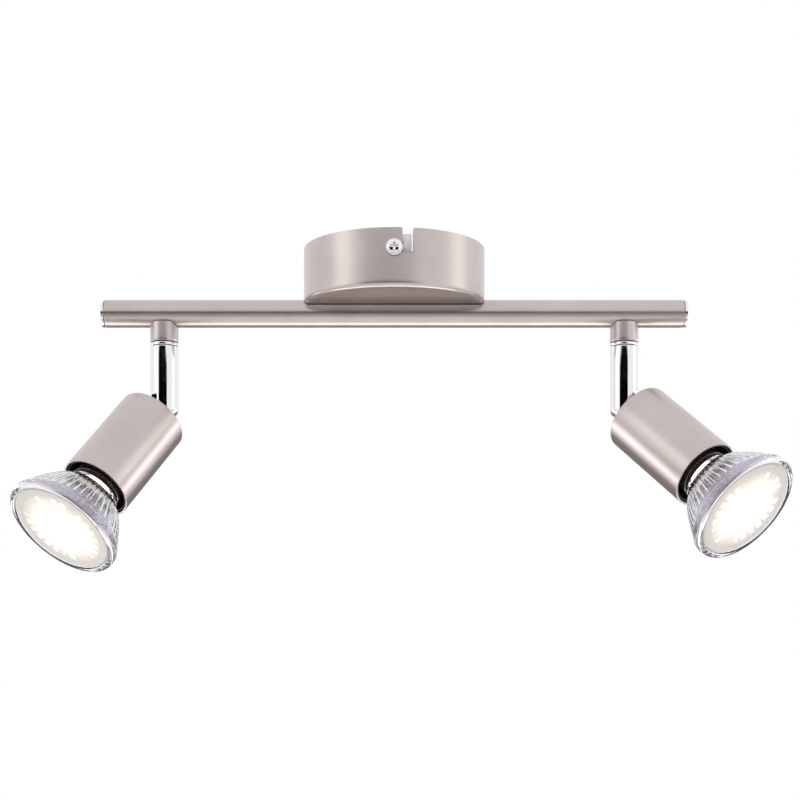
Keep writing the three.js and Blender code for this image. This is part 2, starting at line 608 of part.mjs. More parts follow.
// tube with a solid lower end, slotted for the tongue; the tilt plane is XZ and the lamp tilts
// towards +X. headSide is the side of the slot that the pivot screw's head is on.
function arm(headSide) {
  const round = ARM_END_RADIUS;
  const body = turned([
    [0, ARM_BOTTOM], ...arc(ARM_RADIUS - round, ARM_BOTTOM + round, round, -90, 0),
    [ARM_RADIUS, ARM_TOP], [0, ARM_TOP],
  ]);
  const backWall = TONGUE_EYE_RADIUS + GAP;
  const slot = block(
    -backWall, 2 * ARM_RADIUS, -SLOT_WIDTH / 2, SLOT_WIDTH / 2, ARM_BOTTOM - 1, SLOT_TOP);
  const screw = pivotScrewSpan();
  const shankRoom = alongY(rod(PIVOT_SCREW_RADIUS + GAP, -screw.tip - GAP, screw.seat + 1));
  const headRoom = alongY(rod(PIVOT_HEAD_RADIUS + GAP, screw.seat - GAP, 2 * ARM_RADIUS));
  const screwRoom = [shankRoom, headRoom].map((g) => {
    const turnedAbout = headSide > 0 ? g : g.rotateZ(Math.PI);
    return turnedAbout.translate(0, 0, PIVOT_Z);
  });
  return shaped([body], [
    rod(ARM_BORE_RADIUS, ARM_BORE_FLOOR, ARM_TOP - ARM_TOP_WALL),
    rod(NIPPLE_RADIUS + GAP, ARM_TOP - 2 * ARM_TOP_WALL, ARM_TOP + 1),
    rod(LEAD_RADIUS + 3 * GAP, SLOT_TOP - 1, ARM_BORE_FLOOR + 1),
    slot, ...screwRoom,
  ]);
}

// distances from the pivot along the screw: its tip in one cheek and its seat and head in the other
function pivotScrewSpan() {
  const headFace = ARM_RADIUS - PIVOT_HEAD_INSET;
  return { headFace, seat: headFace - PIVOT_HEAD_HEIGHT, tip: SLOT_WIDTH / 2 + PIVOT_THREAD_LENGTH };
}

function pivotScrew(headSide) {
  const { headFace, seat, tip } = pivotScrewSpan();
  const body = turned([
    [0, -tip], [PIVOT_SCREW_RADIUS, -tip], [PIVOT_SCREW_RADIUS, seat], [PIVOT_HEAD_RADIUS, seat],
    [PIVOT_HEAD_RADIUS, headFace], [0, headFace],
  ]);
  const screw = alongY(shaped([body], crossRecess(PIVOT_HEAD_RADIUS, headFace)));
  return (headSide > 0 ? screw : screw.rotateZ(Math.PI)).translate(0, 0, PIVOT_Z);
}

const armLead = () => rod(LEAD_RADIUS, SLOT_TOP + GAP, NIPPLE_BOTTOM - 2 * GAP);

// ---------------------------------------------------------------- spot head, pivot at the origin
// and the lamp's axis along -Z

function hingeTongue() {
  const eye = new THREE.Shape();
  eye.absarc(0, 0, TONGUE_EYE_RADIUS, 0, Math.PI, false);
  eye.lineTo(-TONGUE_EYE_RADIUS, FLANGE_TOP - FLANGE_THICKNESS / 2);
  eye.lineTo(TONGUE_EYE_RADIUS, FLANGE_TOP - FLANGE_THICKNESS / 2);
  const low = FLANGE_TOP - FLANGE_THICKNESS;
  const foot = turned([
    [0, low], [STUD_BORE_RADIUS, low], [STUD_BORE_RADIUS, STUD_END], [STUD_RADIUS, STUD_END],
    [STUD_RADIUS, low], [FLANGE_RADIUS, low], [FLANGE_RADIUS, FLANGE_TOP], [0, FLANGE_TOP],
  ]);
  const coreHoles = [-1, 1].map((side) =>
    rod(CORE_HOLE_RADIUS, low - 1, FLANGE_TOP + 1)
      .translate(0, side * (TONGUE_THICKNESS / 2 + GAP), 0));
  const pivotHole = alongY(rod(PIVOT_SCREW_RADIUS + GAP, -ARM_RADIUS, ARM_RADIUS));
  return shaped([slabXZ(eye, TONGUE_THICKNESS), foot], [pivotHole, ...coreHoles]);
}

const hingeNut = () => hexNut(
  STUD_RADIUS + GAP + HINGE_NUT_WALL, STUD_RADIUS + GAP,
  HINGE_NUT_TOP - HINGE_NUT_HEIGHT, HINGE_NUT_TOP);

function housing() {
  const edge = HOUSING_EDGE_RADIUS;
  const hole = STUD_RADIUS + GAP;
  return turned([
    [hole, HOUSING_TOP], [HOUSING_RADIUS - edge, HOUSING_TOP],
    ...arc(HOUSING_RADIUS - edge, HOUSING_TOP - edge, edge, 90, 0, 3).slice(1),
    [HOUSING_RADIUS, HOUSING_MOUTH], [HOUSING_INNER_RADIUS, HOUSING_MOUTH],
    [HOUSING_INNER_RADIUS, HOUSING_CEILING], [hole, HOUSING_CEILING],
  ]);
}

const liner = () => pipe(
  LINER_INNER_RADIUS, HOUSING_INNER_RADIUS - GAP, HOUSING_MOUTH + LINER_RECESS, HOUSING_CEILING - GAP);

// U-shaped spring strap: its web is clamped under the hinge nut and its legs hold the lamp holder
function holderClip() {
  const outer = CLIP_OUTER_HALF;
  const inner = outer - CLIP_THICKNESS;
  const foot = HOLDER_BACK - CLIP_LEG_LAP;
  const outline = new THREE.Shape([
    [-outer, CLIP_TOP], [-outer, foot], [-inner, foot], [-inner, CLIP_TOP - CLIP_THICKNESS],
    [inner, CLIP_TOP - CLIP_THICKNESS], [inner, foot], [outer, foot], [outer, CLIP_TOP],
  ].map(([x, z]) => new THREE.Vector2(x, z)));
  const hole = STUD_RADIUS + GAP;
  const eyelet = rod(hole + CLIP_EYELET_WALL, CLIP_TOP - CLIP_THICKNESS, CLIP_TOP);
  return shaped([slabXZ(outline, CLIP_WIDTH), eyelet],
    [rod(hole, CLIP_TOP - 2 * CLIP_THICKNESS, CLIP_TOP + 1)]);
}

// twist-lock socket: each pin enters a round hole, then turns along a narrow slot over a wide chamber
function lampHolder() {
  const body = turned([
    [0, HOLDER_FACE], [HOLDER_RADIUS - HOLDER_CHAMFER, HOLDER_FACE],
    [HOLDER_RADIUS, HOLDER_FACE + HOLDER_CHAMFER], [HOLDER_RADIUS, HOLDER_BACK - HOLDER_BACK_CHAMFER],
    [HOLDER_RADIUS - HOLDER_BACK_CHAMFER, HOLDER_BACK], [0, HOLDER_BACK],
  ]);
  const chamberFloor = HOLDER_FACE + HOLDER_FACE_THICKNESS;
  const track = PIN_SPREAD / 2;
  const neck = PIN_NECK_RADIUS + GAP;
  const head = PIN_HEAD_RADIUS + GAP;
  const hole = (radius, angle, z0, z1) =>
    rod(radius, z0, z1).translate(track, 0, 0).rotateZ(radians(angle));
  const swept = (half, start, z0, z1) => [
    slabXY(ringSector(track - half, track + half, start - BULB_TWIST, start), z0, z1, 4),
    hole(half, start, z0, z1),
    hole(half, start - BULB_TWIST, z0, z1),
  ];
  const cuts = [0, 180].flatMap((start) => [
    ...swept(neck, start, HOLDER_FACE - 1, chamberFloor + 1),
    ...swept(head, start, chamberFloor, HOLDER_CHAMBER_ROOF),
    hole(head, start - BULB_TWIST, HOLDER_FACE - 1, chamberFloor + 1),
  ]);
  const leadHole = rod(LEAD_RADIUS + GAP, chamberFloor, HOLDER_BACK + 1);
  return shaped([body], [...cuts, leadHole]);
}

const headLead = () =>
  rod(LEAD_RADIUS, HOLDER_CHAMBER_ROOF - HOLDER_BACK_THICKNESS, STUD_END + STUD_RADIUS);

// ---------------------------------------------------------------- reflector lamp, its base's seat at
// the origin and its axis along -Z

// outer radius of the flared glass at a depth between the neck and the rim
function flareRadius(z) {
  const neck = BULB_BASE_RADIUS + BULB_SHOULDER;
  const share = (FLARE_START - z) / (FLARE_START - RIM_BACK);
  return neck + (BULB_RADIUS - BULB_RIM_ROUND - neck) * Math.pow(share, BULB_FLARE_POWER);
}

const FLARE_STEPS = [0, 1 / 3, 2 / 3, 1].map((share) => FLARE_START + (RIM_BACK - FLARE_START) * share);

function bulbGlass() {
  const neckHole = BULB_BASE_RADIUS * BULB_NECK_HOLE_SHARE;
  const outer = FLARE_STEPS.map((z) => [flareRadius(z), z]);
  const inner = FLARE_STEPS.slice(1).reverse().map((z) => [flareRadius(z) - GLASS_WALL, z]);
  const lensSeat = BULB_FACE + LENS_THICKNESS + GAP;
  return turned([
    [neckHole, GLASS_START], [BULB_BASE_RADIUS, GLASS_START],
    [BULB_BASE_RADIUS + BULB_SHOULDER, GLASS_START - BULB_SHOULDER_DROP / 2], ...outer,
    [BULB_RADIUS, RIM_BACK - BULB_RIM_ROUND], [BULB_RADIUS, BULB_FACE + BULB_RIM_ROUND],
    [BULB_RADIUS - BULB_RIM_ROUND, BULB_FACE], [LENS_SEAT_RADIUS, BULB_FACE],
    [LENS_SEAT_RADIUS, lensSeat], [LENS_SEAT_RADIUS - GLASS_WALL, lensSeat],
    ...inner, [BULB_BASE_RADIUS - GAP, GLASS_FLOOR], [neckHole, GLASS_FLOOR],
  ]);
}

const bulbLens = () =>
  rod(LENS_SEAT_RADIUS - GAP, BULB_FACE + LENS_INSET, BULB_FACE + LENS_THICKNESS);

function bulbBase() {
  const radius = BULB_BASE_RADIUS;
  const body = turned([
    [0, 0], [radius - BASE_CHAMFER, 0], [radius, -BASE_CHAMFER], [radius, -BULB_BASE_LENGTH],
    [0, -BULB_BASE_LENGTH],
  ]);
  const pinHoles = [-1, 1].map((side) =>
    rod(PIN_NECK_RADIUS + GAP, -PIN_ROOT - GAP, 1).translate((side * PIN_SPREAD) / 2, 0, 0));
  return shaped([body], pinHoles);
}

function bulbPin(side) {
  const neckTop = PIN_LENGTH - PIN_HEAD_HEIGHT;
  return turned([
    [0, -PIN_ROOT], [PIN_NECK_RADIUS, -PIN_ROOT], [PIN_NECK_RADIUS, neckTop], [PIN_HEAD_RADIUS, neckTop],
    [PIN_HEAD_RADIUS, PIN_LENGTH - PIN_CHAMFER], [PIN_HEAD_RADIUS - PIN_CHAMFER, PIN_LENGTH],
    [0, PIN_LENGTH],
  ]).translate((side * PIN_SPREAD) / 2, 0, 0);
}

function ledBoard() {
  const radius = BULB_BASE_RADIUS - GLASS_WALL;
  const diode = radius * DIODE_SHARE;
  const front = BOARD_BACK - BOARD_THICKNESS;
  return turned([
    [0, front - DIODE_HEIGHT], [diode, front - DIODE_HEIGHT], [diode, front], [radius, front],
    [radius, BOARD_BACK], [0, BOARD_BACK],
  ]);
}

// open cone between the light source and the lens
function bulbReflector() {
  const back = BOARD_BACK - BOARD_THICKNESS - GAP;
  const front = BULB_FACE + LENS_THICKNESS + 3 * GAP;
  const wide = flareRadius(RIM_BACK) - 2 * GLASS_WALL;
  const narrow = BULB_BASE_RADIUS - 2 * GLASS_WALL + 3 * GAP;
  const waist = narrow + (wide - narrow) * REFLECTOR_WAIST_SHARE;
  const middle = (back + front) / 2;
  return turned([
    [narrow, back], [waist, middle], [wide, front], [wide - REFLECTOR_WALL, front],
    [waist - REFLECTOR_WALL, middle], [narrow - REFLECTOR_WALL, back],
  ]);
}

// ---------------------------------------------------------------- assembly

const assembly = new THREE.Group();

assembly.add(
  piece('mounting_bracket', mountingBracket(), ZINC),
  piece('terminal_block', terminalBlock(), CLEAR_PLASTIC),
  piece('earth_screw', earthScrew(), STEEL),
  piece('canopy_screw_front', canopyScrew(), CHROME),
  piece('canopy_screw_rear', canopyScrew().rotateZ(Math.PI), CHROME),
  piece('canopy', canopy(), SATIN_NICKEL),
  piece('bar_tube', barTube(), SATIN_NICKEL),
  piece('cable_bushing', cableBushing(), RUBBER),
);

for (const lamp of LAMPS) {
  const { name, side } = lamp;
  assembly.add(
    piece(`${name}_end_cap`, endCap(side), CHROME),
    piece(`${name}_bar_screw`, barScrew(side), STEEL),
    piece(`${name}_bar_lead`, barLead(side), LEAD_SLEEVE),
  );

  const onArmAxis = new THREE.Group();
  onArmAxis.position.x = side * ARM_X;
  onArmAxis.add(
    piece(`${name}_sleeve`, sleeve(), SATIN_NICKEL),
    piece(`${name}_nipple`, nipple(), STEEL),
    piece(`${name}_bar_nut`, barNut(), STEEL),
    piece(`${name}_arm_nut`, armNut(), STEEL),
  );

  const swivel = new THREE.Group();
  swivel.rotation.z = side < 0 ? Math.PI + radians(lamp.turn) : -radians(lamp.turn);
  swivel.add(
    piece(`${name}_swivel_ring`, swivelRing(), CHROME),
    piece(`${name}_arm`, arm(side), CHROME),
    piece(`${name}_pivot_screw`, pivotScrew(side), STEEL),
    piece(`${name}_arm_lead`, armLead(), LEAD_SLEEVE),
  );

  const head = new THREE.Group();
  head.position.z = PIVOT_Z;
  head.rotation.y = -radians(lamp.tilt);
  head.add(
    piece(`${name}_hinge_tongue`, hingeTongue(), STEEL),
    piece(`${name}_hinge_nut`, hingeNut(), STEEL),
    piece(`${name}_housing`, housing(), SATIN_NICKEL),
    piece(`${name}_liner`, liner(), BLACK_LINING),
    piece(`${name}_holder_clip`, holderClip(), ZINC),
    piece(`${name}_lamp_holder`, lampHolder(), WHITE_CERAMIC),
    piece(`${name}_head_lead`, headLead(), LEAD_SLEEVE),
  );

  const bulb = new THREE.Group();
  bulb.position.z = BULB_SEAT;
  bulb.add(
    piece(`${name}_bulb_glass`, bulbGlass(), GLASS),
    piece(`${name}_bulb_lens`, bulbLens(), GLASS),
    piece(`${name}_bulb_base`, bulbBase(), BASE_GLASS),
    piece(`${name}_bulb_pin_a`, bulbPin(-1), STEEL),
    piece(`${name}_bulb_pin_b`, bulbPin(1), STEEL),
    piece(`${name}_led_board`, ledBoard(), LED_BOARD),
    piece(`${name}_reflector`, bulbReflector(), MIRROR_PLASTIC),
  );

  head.add(bulb);
  swivel.add(head);
  onArmAxis.add(swivel);
  assembly.add(onArmAxis);
}

export default assembly;
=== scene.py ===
import json
import math
import bmesh
import bpy
import numpy as np
from mathutils import Matrix, Vector


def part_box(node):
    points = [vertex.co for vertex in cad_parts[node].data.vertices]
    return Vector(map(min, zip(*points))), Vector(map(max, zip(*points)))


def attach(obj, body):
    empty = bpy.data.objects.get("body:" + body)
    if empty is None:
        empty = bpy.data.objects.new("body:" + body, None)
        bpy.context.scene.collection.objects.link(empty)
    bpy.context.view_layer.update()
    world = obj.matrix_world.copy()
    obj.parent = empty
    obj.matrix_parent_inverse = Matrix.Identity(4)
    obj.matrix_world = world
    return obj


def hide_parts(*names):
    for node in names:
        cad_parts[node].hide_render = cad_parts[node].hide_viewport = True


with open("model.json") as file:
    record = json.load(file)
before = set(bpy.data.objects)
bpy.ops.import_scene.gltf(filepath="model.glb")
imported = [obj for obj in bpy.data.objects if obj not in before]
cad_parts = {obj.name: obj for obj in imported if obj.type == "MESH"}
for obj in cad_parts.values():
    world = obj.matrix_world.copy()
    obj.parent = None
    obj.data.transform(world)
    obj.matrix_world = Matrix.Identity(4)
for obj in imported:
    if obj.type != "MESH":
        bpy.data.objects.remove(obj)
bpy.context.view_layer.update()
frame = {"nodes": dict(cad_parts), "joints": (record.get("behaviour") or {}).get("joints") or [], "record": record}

# A ceiling spotlight bar. Sizes are in millimetres and shapes are made about their own axis, then
# put in place by a matrix. Places come from the frame's boxes and joints.

MM = 0.001


def corners(node):
    """Lowest and highest corner of a CAD node, in millimetres."""
    low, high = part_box(node)
    return np.array(low) / MM, np.array(high) / MM


# ---------------------------------------------------------------- sizes read from the frame

GAP = 0.3
canopy_low, canopy_high = corners("canopy")
CANOPY_RADIUS = (canopy_high[0] - canopy_low[0]) / 2
CANOPY_BOTTOM = canopy_low[2]
CANOPY_WALL = 1.0
CANOPY_EDGE = 2.2

tube_low, tube_high = corners("bar_tube")
BAR_RADIUS = (tube_high[2] - tube_low[2]) / 2
BAR_Z = (tube_high[2] + tube_low[2]) / 2
BAR_HALF_LENGTH = (tube_high[0] - tube_low[0]) / 2
BAR_WALL = 1.0
CHANNEL_RADIUS = BAR_RADIUS + GAP
CAP_OUTER = corners("right_end_cap")[1][0]

screw_low, screw_high = corners("canopy_screw_front")
SCREW_Z = (screw_low[2] + screw_high[2]) / 2
SCREW_TIP_Y = screw_low[1]
WASHER_RADIUS = (screw_high[2] - screw_low[2]) / 2

sleeve_low, sleeve_high = corners("right_sleeve")
SLEEVE_RADIUS = (sleeve_high[0] - sleeve_low[0]) / 2
ring_low, ring_high = corners("right_swivel_ring")
arm_low, arm_high = corners("right_arm")
ARM_RADIUS = 6.25
ARM_END = 3.3
JOINTS = {joint["name"]: joint for joint in frame["joints"]}
PIVOT_Z = JOINTS["left_tilt"]["pos_m"][2] / MM

KEY_ANGLE = 8.2
KEY_HALF = 2.25
KEY_CORNER = 0.9
SLOT_HALF = 2.05

TONGUE = 2.8
TONGUE_EYE = 4.2
SLOT_TOP = PIVOT_Z + TONGUE_EYE + GAP

HOUSING_RADIUS = 15.35
HOUSING_TOP = -9.9
HOUSING_MOUTH = -55.4
HOUSING_WALL = 0.8

LAMP_RADIUS = 25.0
LAMP_FACE = -46.5
BASE_RADIUS = 11.0
BASE_END = -23.0
GLASS_TOP = BASE_END - GAP
RIM_BACK = LAMP_FACE + 3.8
RIBS = 48
RIB_DEPTH = 0.56
GLASS_WALL = 1.3
RIM_LIP = 2.8
LENS_INSET = 3.1
FACETS = 25
FACET_RING = 0.63
FACET_REACH = 0.09


# ---------------------------------------------------------------- surfaces

def rounded(points, radius, steps=5, hold=0.12):
    """The polyline with each inner corner replaced by an arc of that radius, or of its own radius when
    a point has a third value. The arc's centre is on the corner's bisector, and a point just
    outside each end of the arc keeps the flat beside it flat."""
    out = [np.array(points[0][:2], float)]
    for before, corner, after in zip(points[:-2], points[1:-1], points[2:]):
        here = np.array(corner[:2], float)
        size = corner[2] if len(corner) > 2 else radius
        to_a = np.array(before[:2], float) - here
        to_b = np.array(after[:2], float) - here
        long_a, long_b = np.hypot(*to_a), np.hypot(*to_b)
        to_a, to_b = to_a / long_a, to_b / long_b
        half = math.acos(np.clip(to_a @ to_b, -1, 1)) / 2
        if size == 0 or half > 1.5:
            out.append(here)
            continue
        reach = min(size / math.tan(half), 0.45 * long_a, 0.45 * long_b)
        arc_radius = reach * math.tan(half)
        bisector = (to_a + to_b) / np.hypot(*(to_a + to_b))
        centre = here + bisector * arc_radius / math.sin(half)
        start, end = here + to_a * reach - centre, here + to_b * reach - centre
        turn = math.pi - 2 * half
        share = np.linspace(0, 1, steps + 1)[:, None]
        arc = (np.sin((1 - share) * turn) * start + np.sin(share * turn) * end) / math.sin(turn)
        out.append(here + to_a * (reach + min(hold, 0.04 * long_a)))
        out.extend(centre + arc)
        out.append(here + to_b * (reach + min(hold, 0.04 * long_b)))
    out.append(np.array(points[-1][:2], float))
    return np.array(out)


def spun(profile, sides=128):
    """Each (radius, height) point of the profile carried round Z: x = r cos a, y = r sin a."""
    angle = np.linspace(0, 2 * math.pi, sides, endpoint=False)
    r, z = np.asarray(profile, float).T
    return closed(np.stack([
        r[:, None] * np.cos(angle), r[:, None] * np.sin(angle), np.repeat(z[:, None], sides, 1)], -1))


def closed(grid):
    """The grid with its first column repeated after its last one."""
    return np.concatenate([grid, grid[:, :1]], 1)


def quads(grid, keep=None):
    """Corner numbers of the cells of a grid, row by row, or only of those that keep is true for."""
    rows, columns = grid.shape[:2]
    index = np.arange(rows * columns).reshape(rows, columns)
    cells = np.stack([index[:-1, :-1], index[:-1, 1:], index[1:, 1:], index[1:, :-1]], -1)
    return cells[keep] if keep is not None else cells.reshape(-1, 4)


def mesh_of(name, grids, place, keeps=None):
    """One mesh of several grids, joined where they meet, its faces turned outwards. The attribute
    own_place keeps each point's place before it is put at its angle and position."""
    keeps = keeps or [None] * len(grids)
    points = np.concatenate([grid.reshape(-1, 3) for grid in grids])
    starts = np.cumsum([0] + [grid.shape[0] * grid.shape[1] for grid in grids])
    faces = np.concatenate([
        quads(grid, keep) + start for grid, keep, start in zip(grids, keeps, starts)])
    mesh = bpy.data.meshes.new(name)
    mesh.from_pydata((points * MM).tolist(), [], faces.tolist())
    own = mesh.attributes.new("own_place", "FLOAT_VECTOR", "POINT")
    own.data.foreach_set("vector", (points * MM).ravel())
    work = bmesh.new()
    work.from_mesh(mesh)
    bmesh.ops.remove_doubles(work, verts=work.verts, dist=0.002 * MM)
    bmesh.ops.dissolve_degenerate(work, edges=work.edges, dist=0.001 * MM)
    bmesh.ops.recalc_face_normals(work, faces=work.faces)
    work.to_mesh(mesh)
    work.free()
    mesh.transform(place)
    return mesh


def finished(obj, sharp=32):
    """The object's modifiers made part of its mesh, and edges sharper than that many degrees kept
    crisp in its shading."""
    if obj.modifiers:
        graph = bpy.context.evaluated_depsgraph_get()
        made = bpy.data.meshes.new_from_object(obj.evaluated_get(graph))
        obj.modifiers.clear()
        obj.data = made
    obj.data.shade_smooth()
    obj.data.set_sharp_from_angle(angle=math.radians(sharp))
    return obj


def made(name, mesh, body, slot_name, finish, nodes, wall=0, edge=0, sharp=32):
    """A new piece: its mesh, with a wall made inwards and its edges rounded where sizes are given,
    on its body, in its material, in place of the CAD nodes."""
    mesh.name = name
    obj = bpy.data.objects.new(name, mesh)
    bpy.context.collection.objects.link(obj)
    if wall:
        solidify = obj.modifiers.new("wall", "SOLIDIFY")
        solidify.thickness = wall * MM
        solidify.offset = -1
        solidify.use_even_offset = True
    if edge:
        bevel = obj.modifiers.new("edge", "BEVEL")
        bevel.width = edge * MM
        bevel.segments = 2
        bevel.limit_method = "ANGLE"
        bevel.angle_limit = math.radians(40)
    finished(obj, sharp)
    obj.data.materials.clear()
    obj.data.materials.append(finish)
    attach(obj, body)
    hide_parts(*nodes)
    return obj


def softened(node, body, slot_name, finish, edge, name):
    """A copy of a CAD node with its triangles merged into flats and its edges rounded."""
    source = frame["nodes"][node].data.copy()
    work = bmesh.new()
    work.from_mesh(source)
    bmesh.ops.remove_doubles(work, verts=work.verts, dist=0.002 * MM)
    bmesh.ops.dissolve_limit(
        work, angle_limit=math.radians(1), verts=work.verts, edges=work.edges)
    work.to_mesh(source)
    work.free()
    return made(name, source, body, slot_name, finish, [node], edge=edge)


def axes(x, y, z, origin):
    """The matrix that puts a shape's own axes along x, y and z, with its origin there (in metres)."""
    turn = Matrix((x, y, z)).transposed().to_4x4()
    return Matrix.Translation(origin) @ turn


UP = Vector((0, 0, 1))
STILL = Matrix.Identity(4)
ALONG_X = axes(Vector((0, 0, -1)), Vector((0, 1, 0)), Vector((1, 0, 0)), Vector((0, 0, BAR_Z * MM)))


def lamp_places(side):
    """Where one lamp's parts stand: on the sleeve's axis, turned with the arm, tilted about the
    pivot with the spot, and at the bulb's seat. The tilt joint's axis is the arm's -Y."""
    tilt = JOINTS[f"{side}_tilt"]
    twist = JOINTS[f"{side}_bulb_twist"]
    pivot = Vector(tilt["pos_m"])
    across = -Vector(tilt["axis"]).normalized()
    along = Vector(twist["axis"]).normalized()
    post = Vector((pivot.x, 0, 0))
    return {
        "post": Matrix.Translation(post),
        "arm": axes(across.cross(UP), across, UP, post),
        "head": axes(across.cross(along), across, along, pivot),
        "bulb": axes(across.cross(along), across, along, Vector(twist["pos_m"])),
    }


# ---------------------------------------------------------------- materials

def linear(hex_colour):
    """An sRGB hex colour as linear light."""
    value = np.array([int(hex_colour[i:i + 2], 16) for i in (1, 3, 5)]) / 255
    light = np.where(value <= 0.04045, value / 12.92, ((value + 0.055) / 1.055) ** 2.4)
    return (*light, 1.0)


def add(tree, kind, settings=(), links=()):
    """One node: settings name its properties or its sockets, links feed sockets from outputs."""
    node = tree.nodes.new(kind)
    for name, value in dict(settings).items():
        if isinstance(name, int) or name in node.inputs:
            node.inputs[name].default_value = value
        else:
            setattr(node, name, value)
    for name, (source, output) in dict(links).items():
        tree.links.new(source.outputs[output], node.inputs[name])
    return node


def begin(name, settings):
    """A material with its shader set; returns the material, its tree and the shader."""
    material = bpy.data.materials.new(name)
    material.use_nodes = True
    tree = material.node_tree
    shader = tree.nodes["Principled BSDF"]
    for socket, value in settings.items():
        shader.inputs[socket].default_value = value
    return material, tree, shader


def ramp(tree, source, output, stops):
    """A colour ramp from (place, colour) stops."""
    node = add(tree, "ShaderNodeValToRGB", links={"Fac": (source, output)})
    elements = node.color_ramp.elements
    while len(elements) < len(stops):
        elements.new(0.5)
    for element, (place, colour) in zip(elements, stops):
        element.position = place
        element.color = colour
    return node


def satin_nickel():
    """Nickel plate over fine bead-blasted steel: a warm grey metal whose fine grain spreads every
    reflection into a soft band."""
    material, tree, shader = begin("satin_nickel_plate", {
        "Metallic": 1.0, "Roughness": 0.3, "Base Color": linear("#c5bab7")})
    place = add(tree, "ShaderNodeTexCoord")
    cloud = add(tree, "ShaderNodeTexNoise", {"Scale": 1 / (18 * MM), "Detail": 3.0},
                {"Vector": (place, "Object")})
    tone = ramp(tree, cloud, "Fac", [(0.3, linear("#c1b6b3")), (0.7, linear("#c8bebb"))])
    # the blasted grain is 0.05 mm, drawn at 0.25 mm so that it shows
    grain = add(tree, "ShaderNodeTexNoise", {"Scale": 1 / (0.25 * MM), "Detail": 2.0},
                {"Vector": (place, "Object")})
    gloss = add(tree, "ShaderNodeMapRange", {"To Min": 0.25, "To Max": 0.35}, {"Value": (grain, "Fac")})
    bump = add(tree, "ShaderNodeBump", {"Strength": 0.05, "Distance": 0.02 * MM},
               {"Height": (grain, "Fac")})
    tree.links.new(tone.outputs["Color"], shader.inputs["Base Color"])
    tree.links.new(gloss.outputs["Result"], shader.inputs["Roughness"])
    tree.links.new(bump.outputs["Normal"], shader.inputs["Normal"])
    return material


def polished_chrome():
    """Bright chrome plate on polished brass: near-mirror reflections with a faint film of handling."""
    material, tree, shader = begin("bright_chrome_plate", {
        "Metallic": 1.0, "Roughness": 0.05, "Base Color": linear("#ecebed")})
    place = add(tree, "ShaderNodeTexCoord")
    film = add(tree, "ShaderNodeTexNoise", {"Scale": 1 / (6 * MM), "Detail": 4.0},
               {"Vector": (place, "Object")})
    gloss = add(tree, "ShaderNodeMapRange", {"From Min": 0.35, "From Max": 0.75, "To Min": 0.03,
                                             "To Max": 0.08}, {"Value": (film, "Fac")})
    tree.links.new(gloss.outputs["Result"], shader.inputs["Roughness"])
    return material


def zinc_plate():
    """Zinc-plated pressed steel: pale, matt, with the faint spangle of the plating crystals."""
    material, tree, shader = begin("zinc_plated_steel", {
        "Metallic": 1.0, "Roughness": 0.42, "Base Color": linear("#dcdcdd")})
    place = add(tree, "ShaderNodeTexCoord")
    spangle = add(tree, "ShaderNodeTexVoronoi", {"Scale": 1 / (1.2 * MM)}, {"Vector": (place, "Object")})
    tone = ramp(tree, spangle, "Color", [(0.0, linear("#d0d0d2")), (1.0, linear("#e6e6e6"))])
    scratch = add(tree, "ShaderNodeTexNoise", {"Scale": 1 / (0.4 * MM), "Detail": 3.0},
                  {"Vector": (place, "Object")})
    gloss = add(tree, "ShaderNodeMapRange", {"To Min": 0.34, "To Max": 0.52}, {"Value": (scratch, "Fac")})
    bump = add(tree, "ShaderNodeBump", {"Strength": 0.08, "Distance": 0.03 * MM},
               {"Height": (scratch, "Fac")})
    tree.links.new(tone.outputs["Color"], shader.inputs["Base Color"])
    tree.links.new(gloss.outputs["Result"], shader.inputs["Roughness"])
    tree.links.new(bump.outputs["Normal"], shader.inputs["Normal"])
    return material


def bright_steel():
    """Turned and tumbled steel hardware: a darker grey metal with fine tool marks."""
    material, tree, shader = begin("bright_turned_steel", {
        "Metallic": 1.0, "Roughness": 0.22, "Base Color": linear("#c4c3c4")})
    place = add(tree, "ShaderNodeTexCoord")
    marks = add(tree, "ShaderNodeTexNoise", {"Scale": 1 / (0.5 * MM), "Detail": 4.0},
                {"Vector": (place, "Object")})
    gloss = add(tree, "ShaderNodeMapRange", {"To Min": 0.14, "To Max": 0.32}, {"Value": (marks, "Fac")})
    tone = ramp(tree, marks, "Fac", [(0.2, linear("#b5b4b6")), (0.8, linear("#d2d1d2"))])
    tree.links.new(tone.outputs["Color"], shader.inputs["Base Color"])
    tree.links.new(gloss.outputs["Result"], shader.inputs["Roughness"])
    return material


def black_lining():
    """Matt brown-black lining with a fine orange-peel skin: its dark colour is partly painted shade, the darkness
    of the spot's inside.
    """
    # painted shade: the brown-black colour carries the darkness of the inside of the spot
    material, tree, shader = begin("matt_lining_with_painted_shade", {
        "Roughness": 0.55, "Base Color": linear("#332c29"), "Specular IOR Level": 0.35})
    place = add(tree, "ShaderNodeTexCoord")
    peel = add(tree, "ShaderNodeTexNoise", {"Scale": 1 / (0.6 * MM), "Detail": 2.0},
               {"Vector": (place, "Object")})
    tone = ramp(tree, peel, "Fac", [(0.3, linear("#2e2724")), (0.7, linear("#3a322e"))])
    bump = add(tree, "ShaderNodeBump", {"Strength": 0.15, "Distance": 0.04 * MM}, {"Height": (peel, "Fac")})
    tree.links.new(tone.outputs["Color"], shader.inputs["Base Color"])
    tree.links.new(bump.outputs["Normal"], shader.inputs["Normal"])
    return material


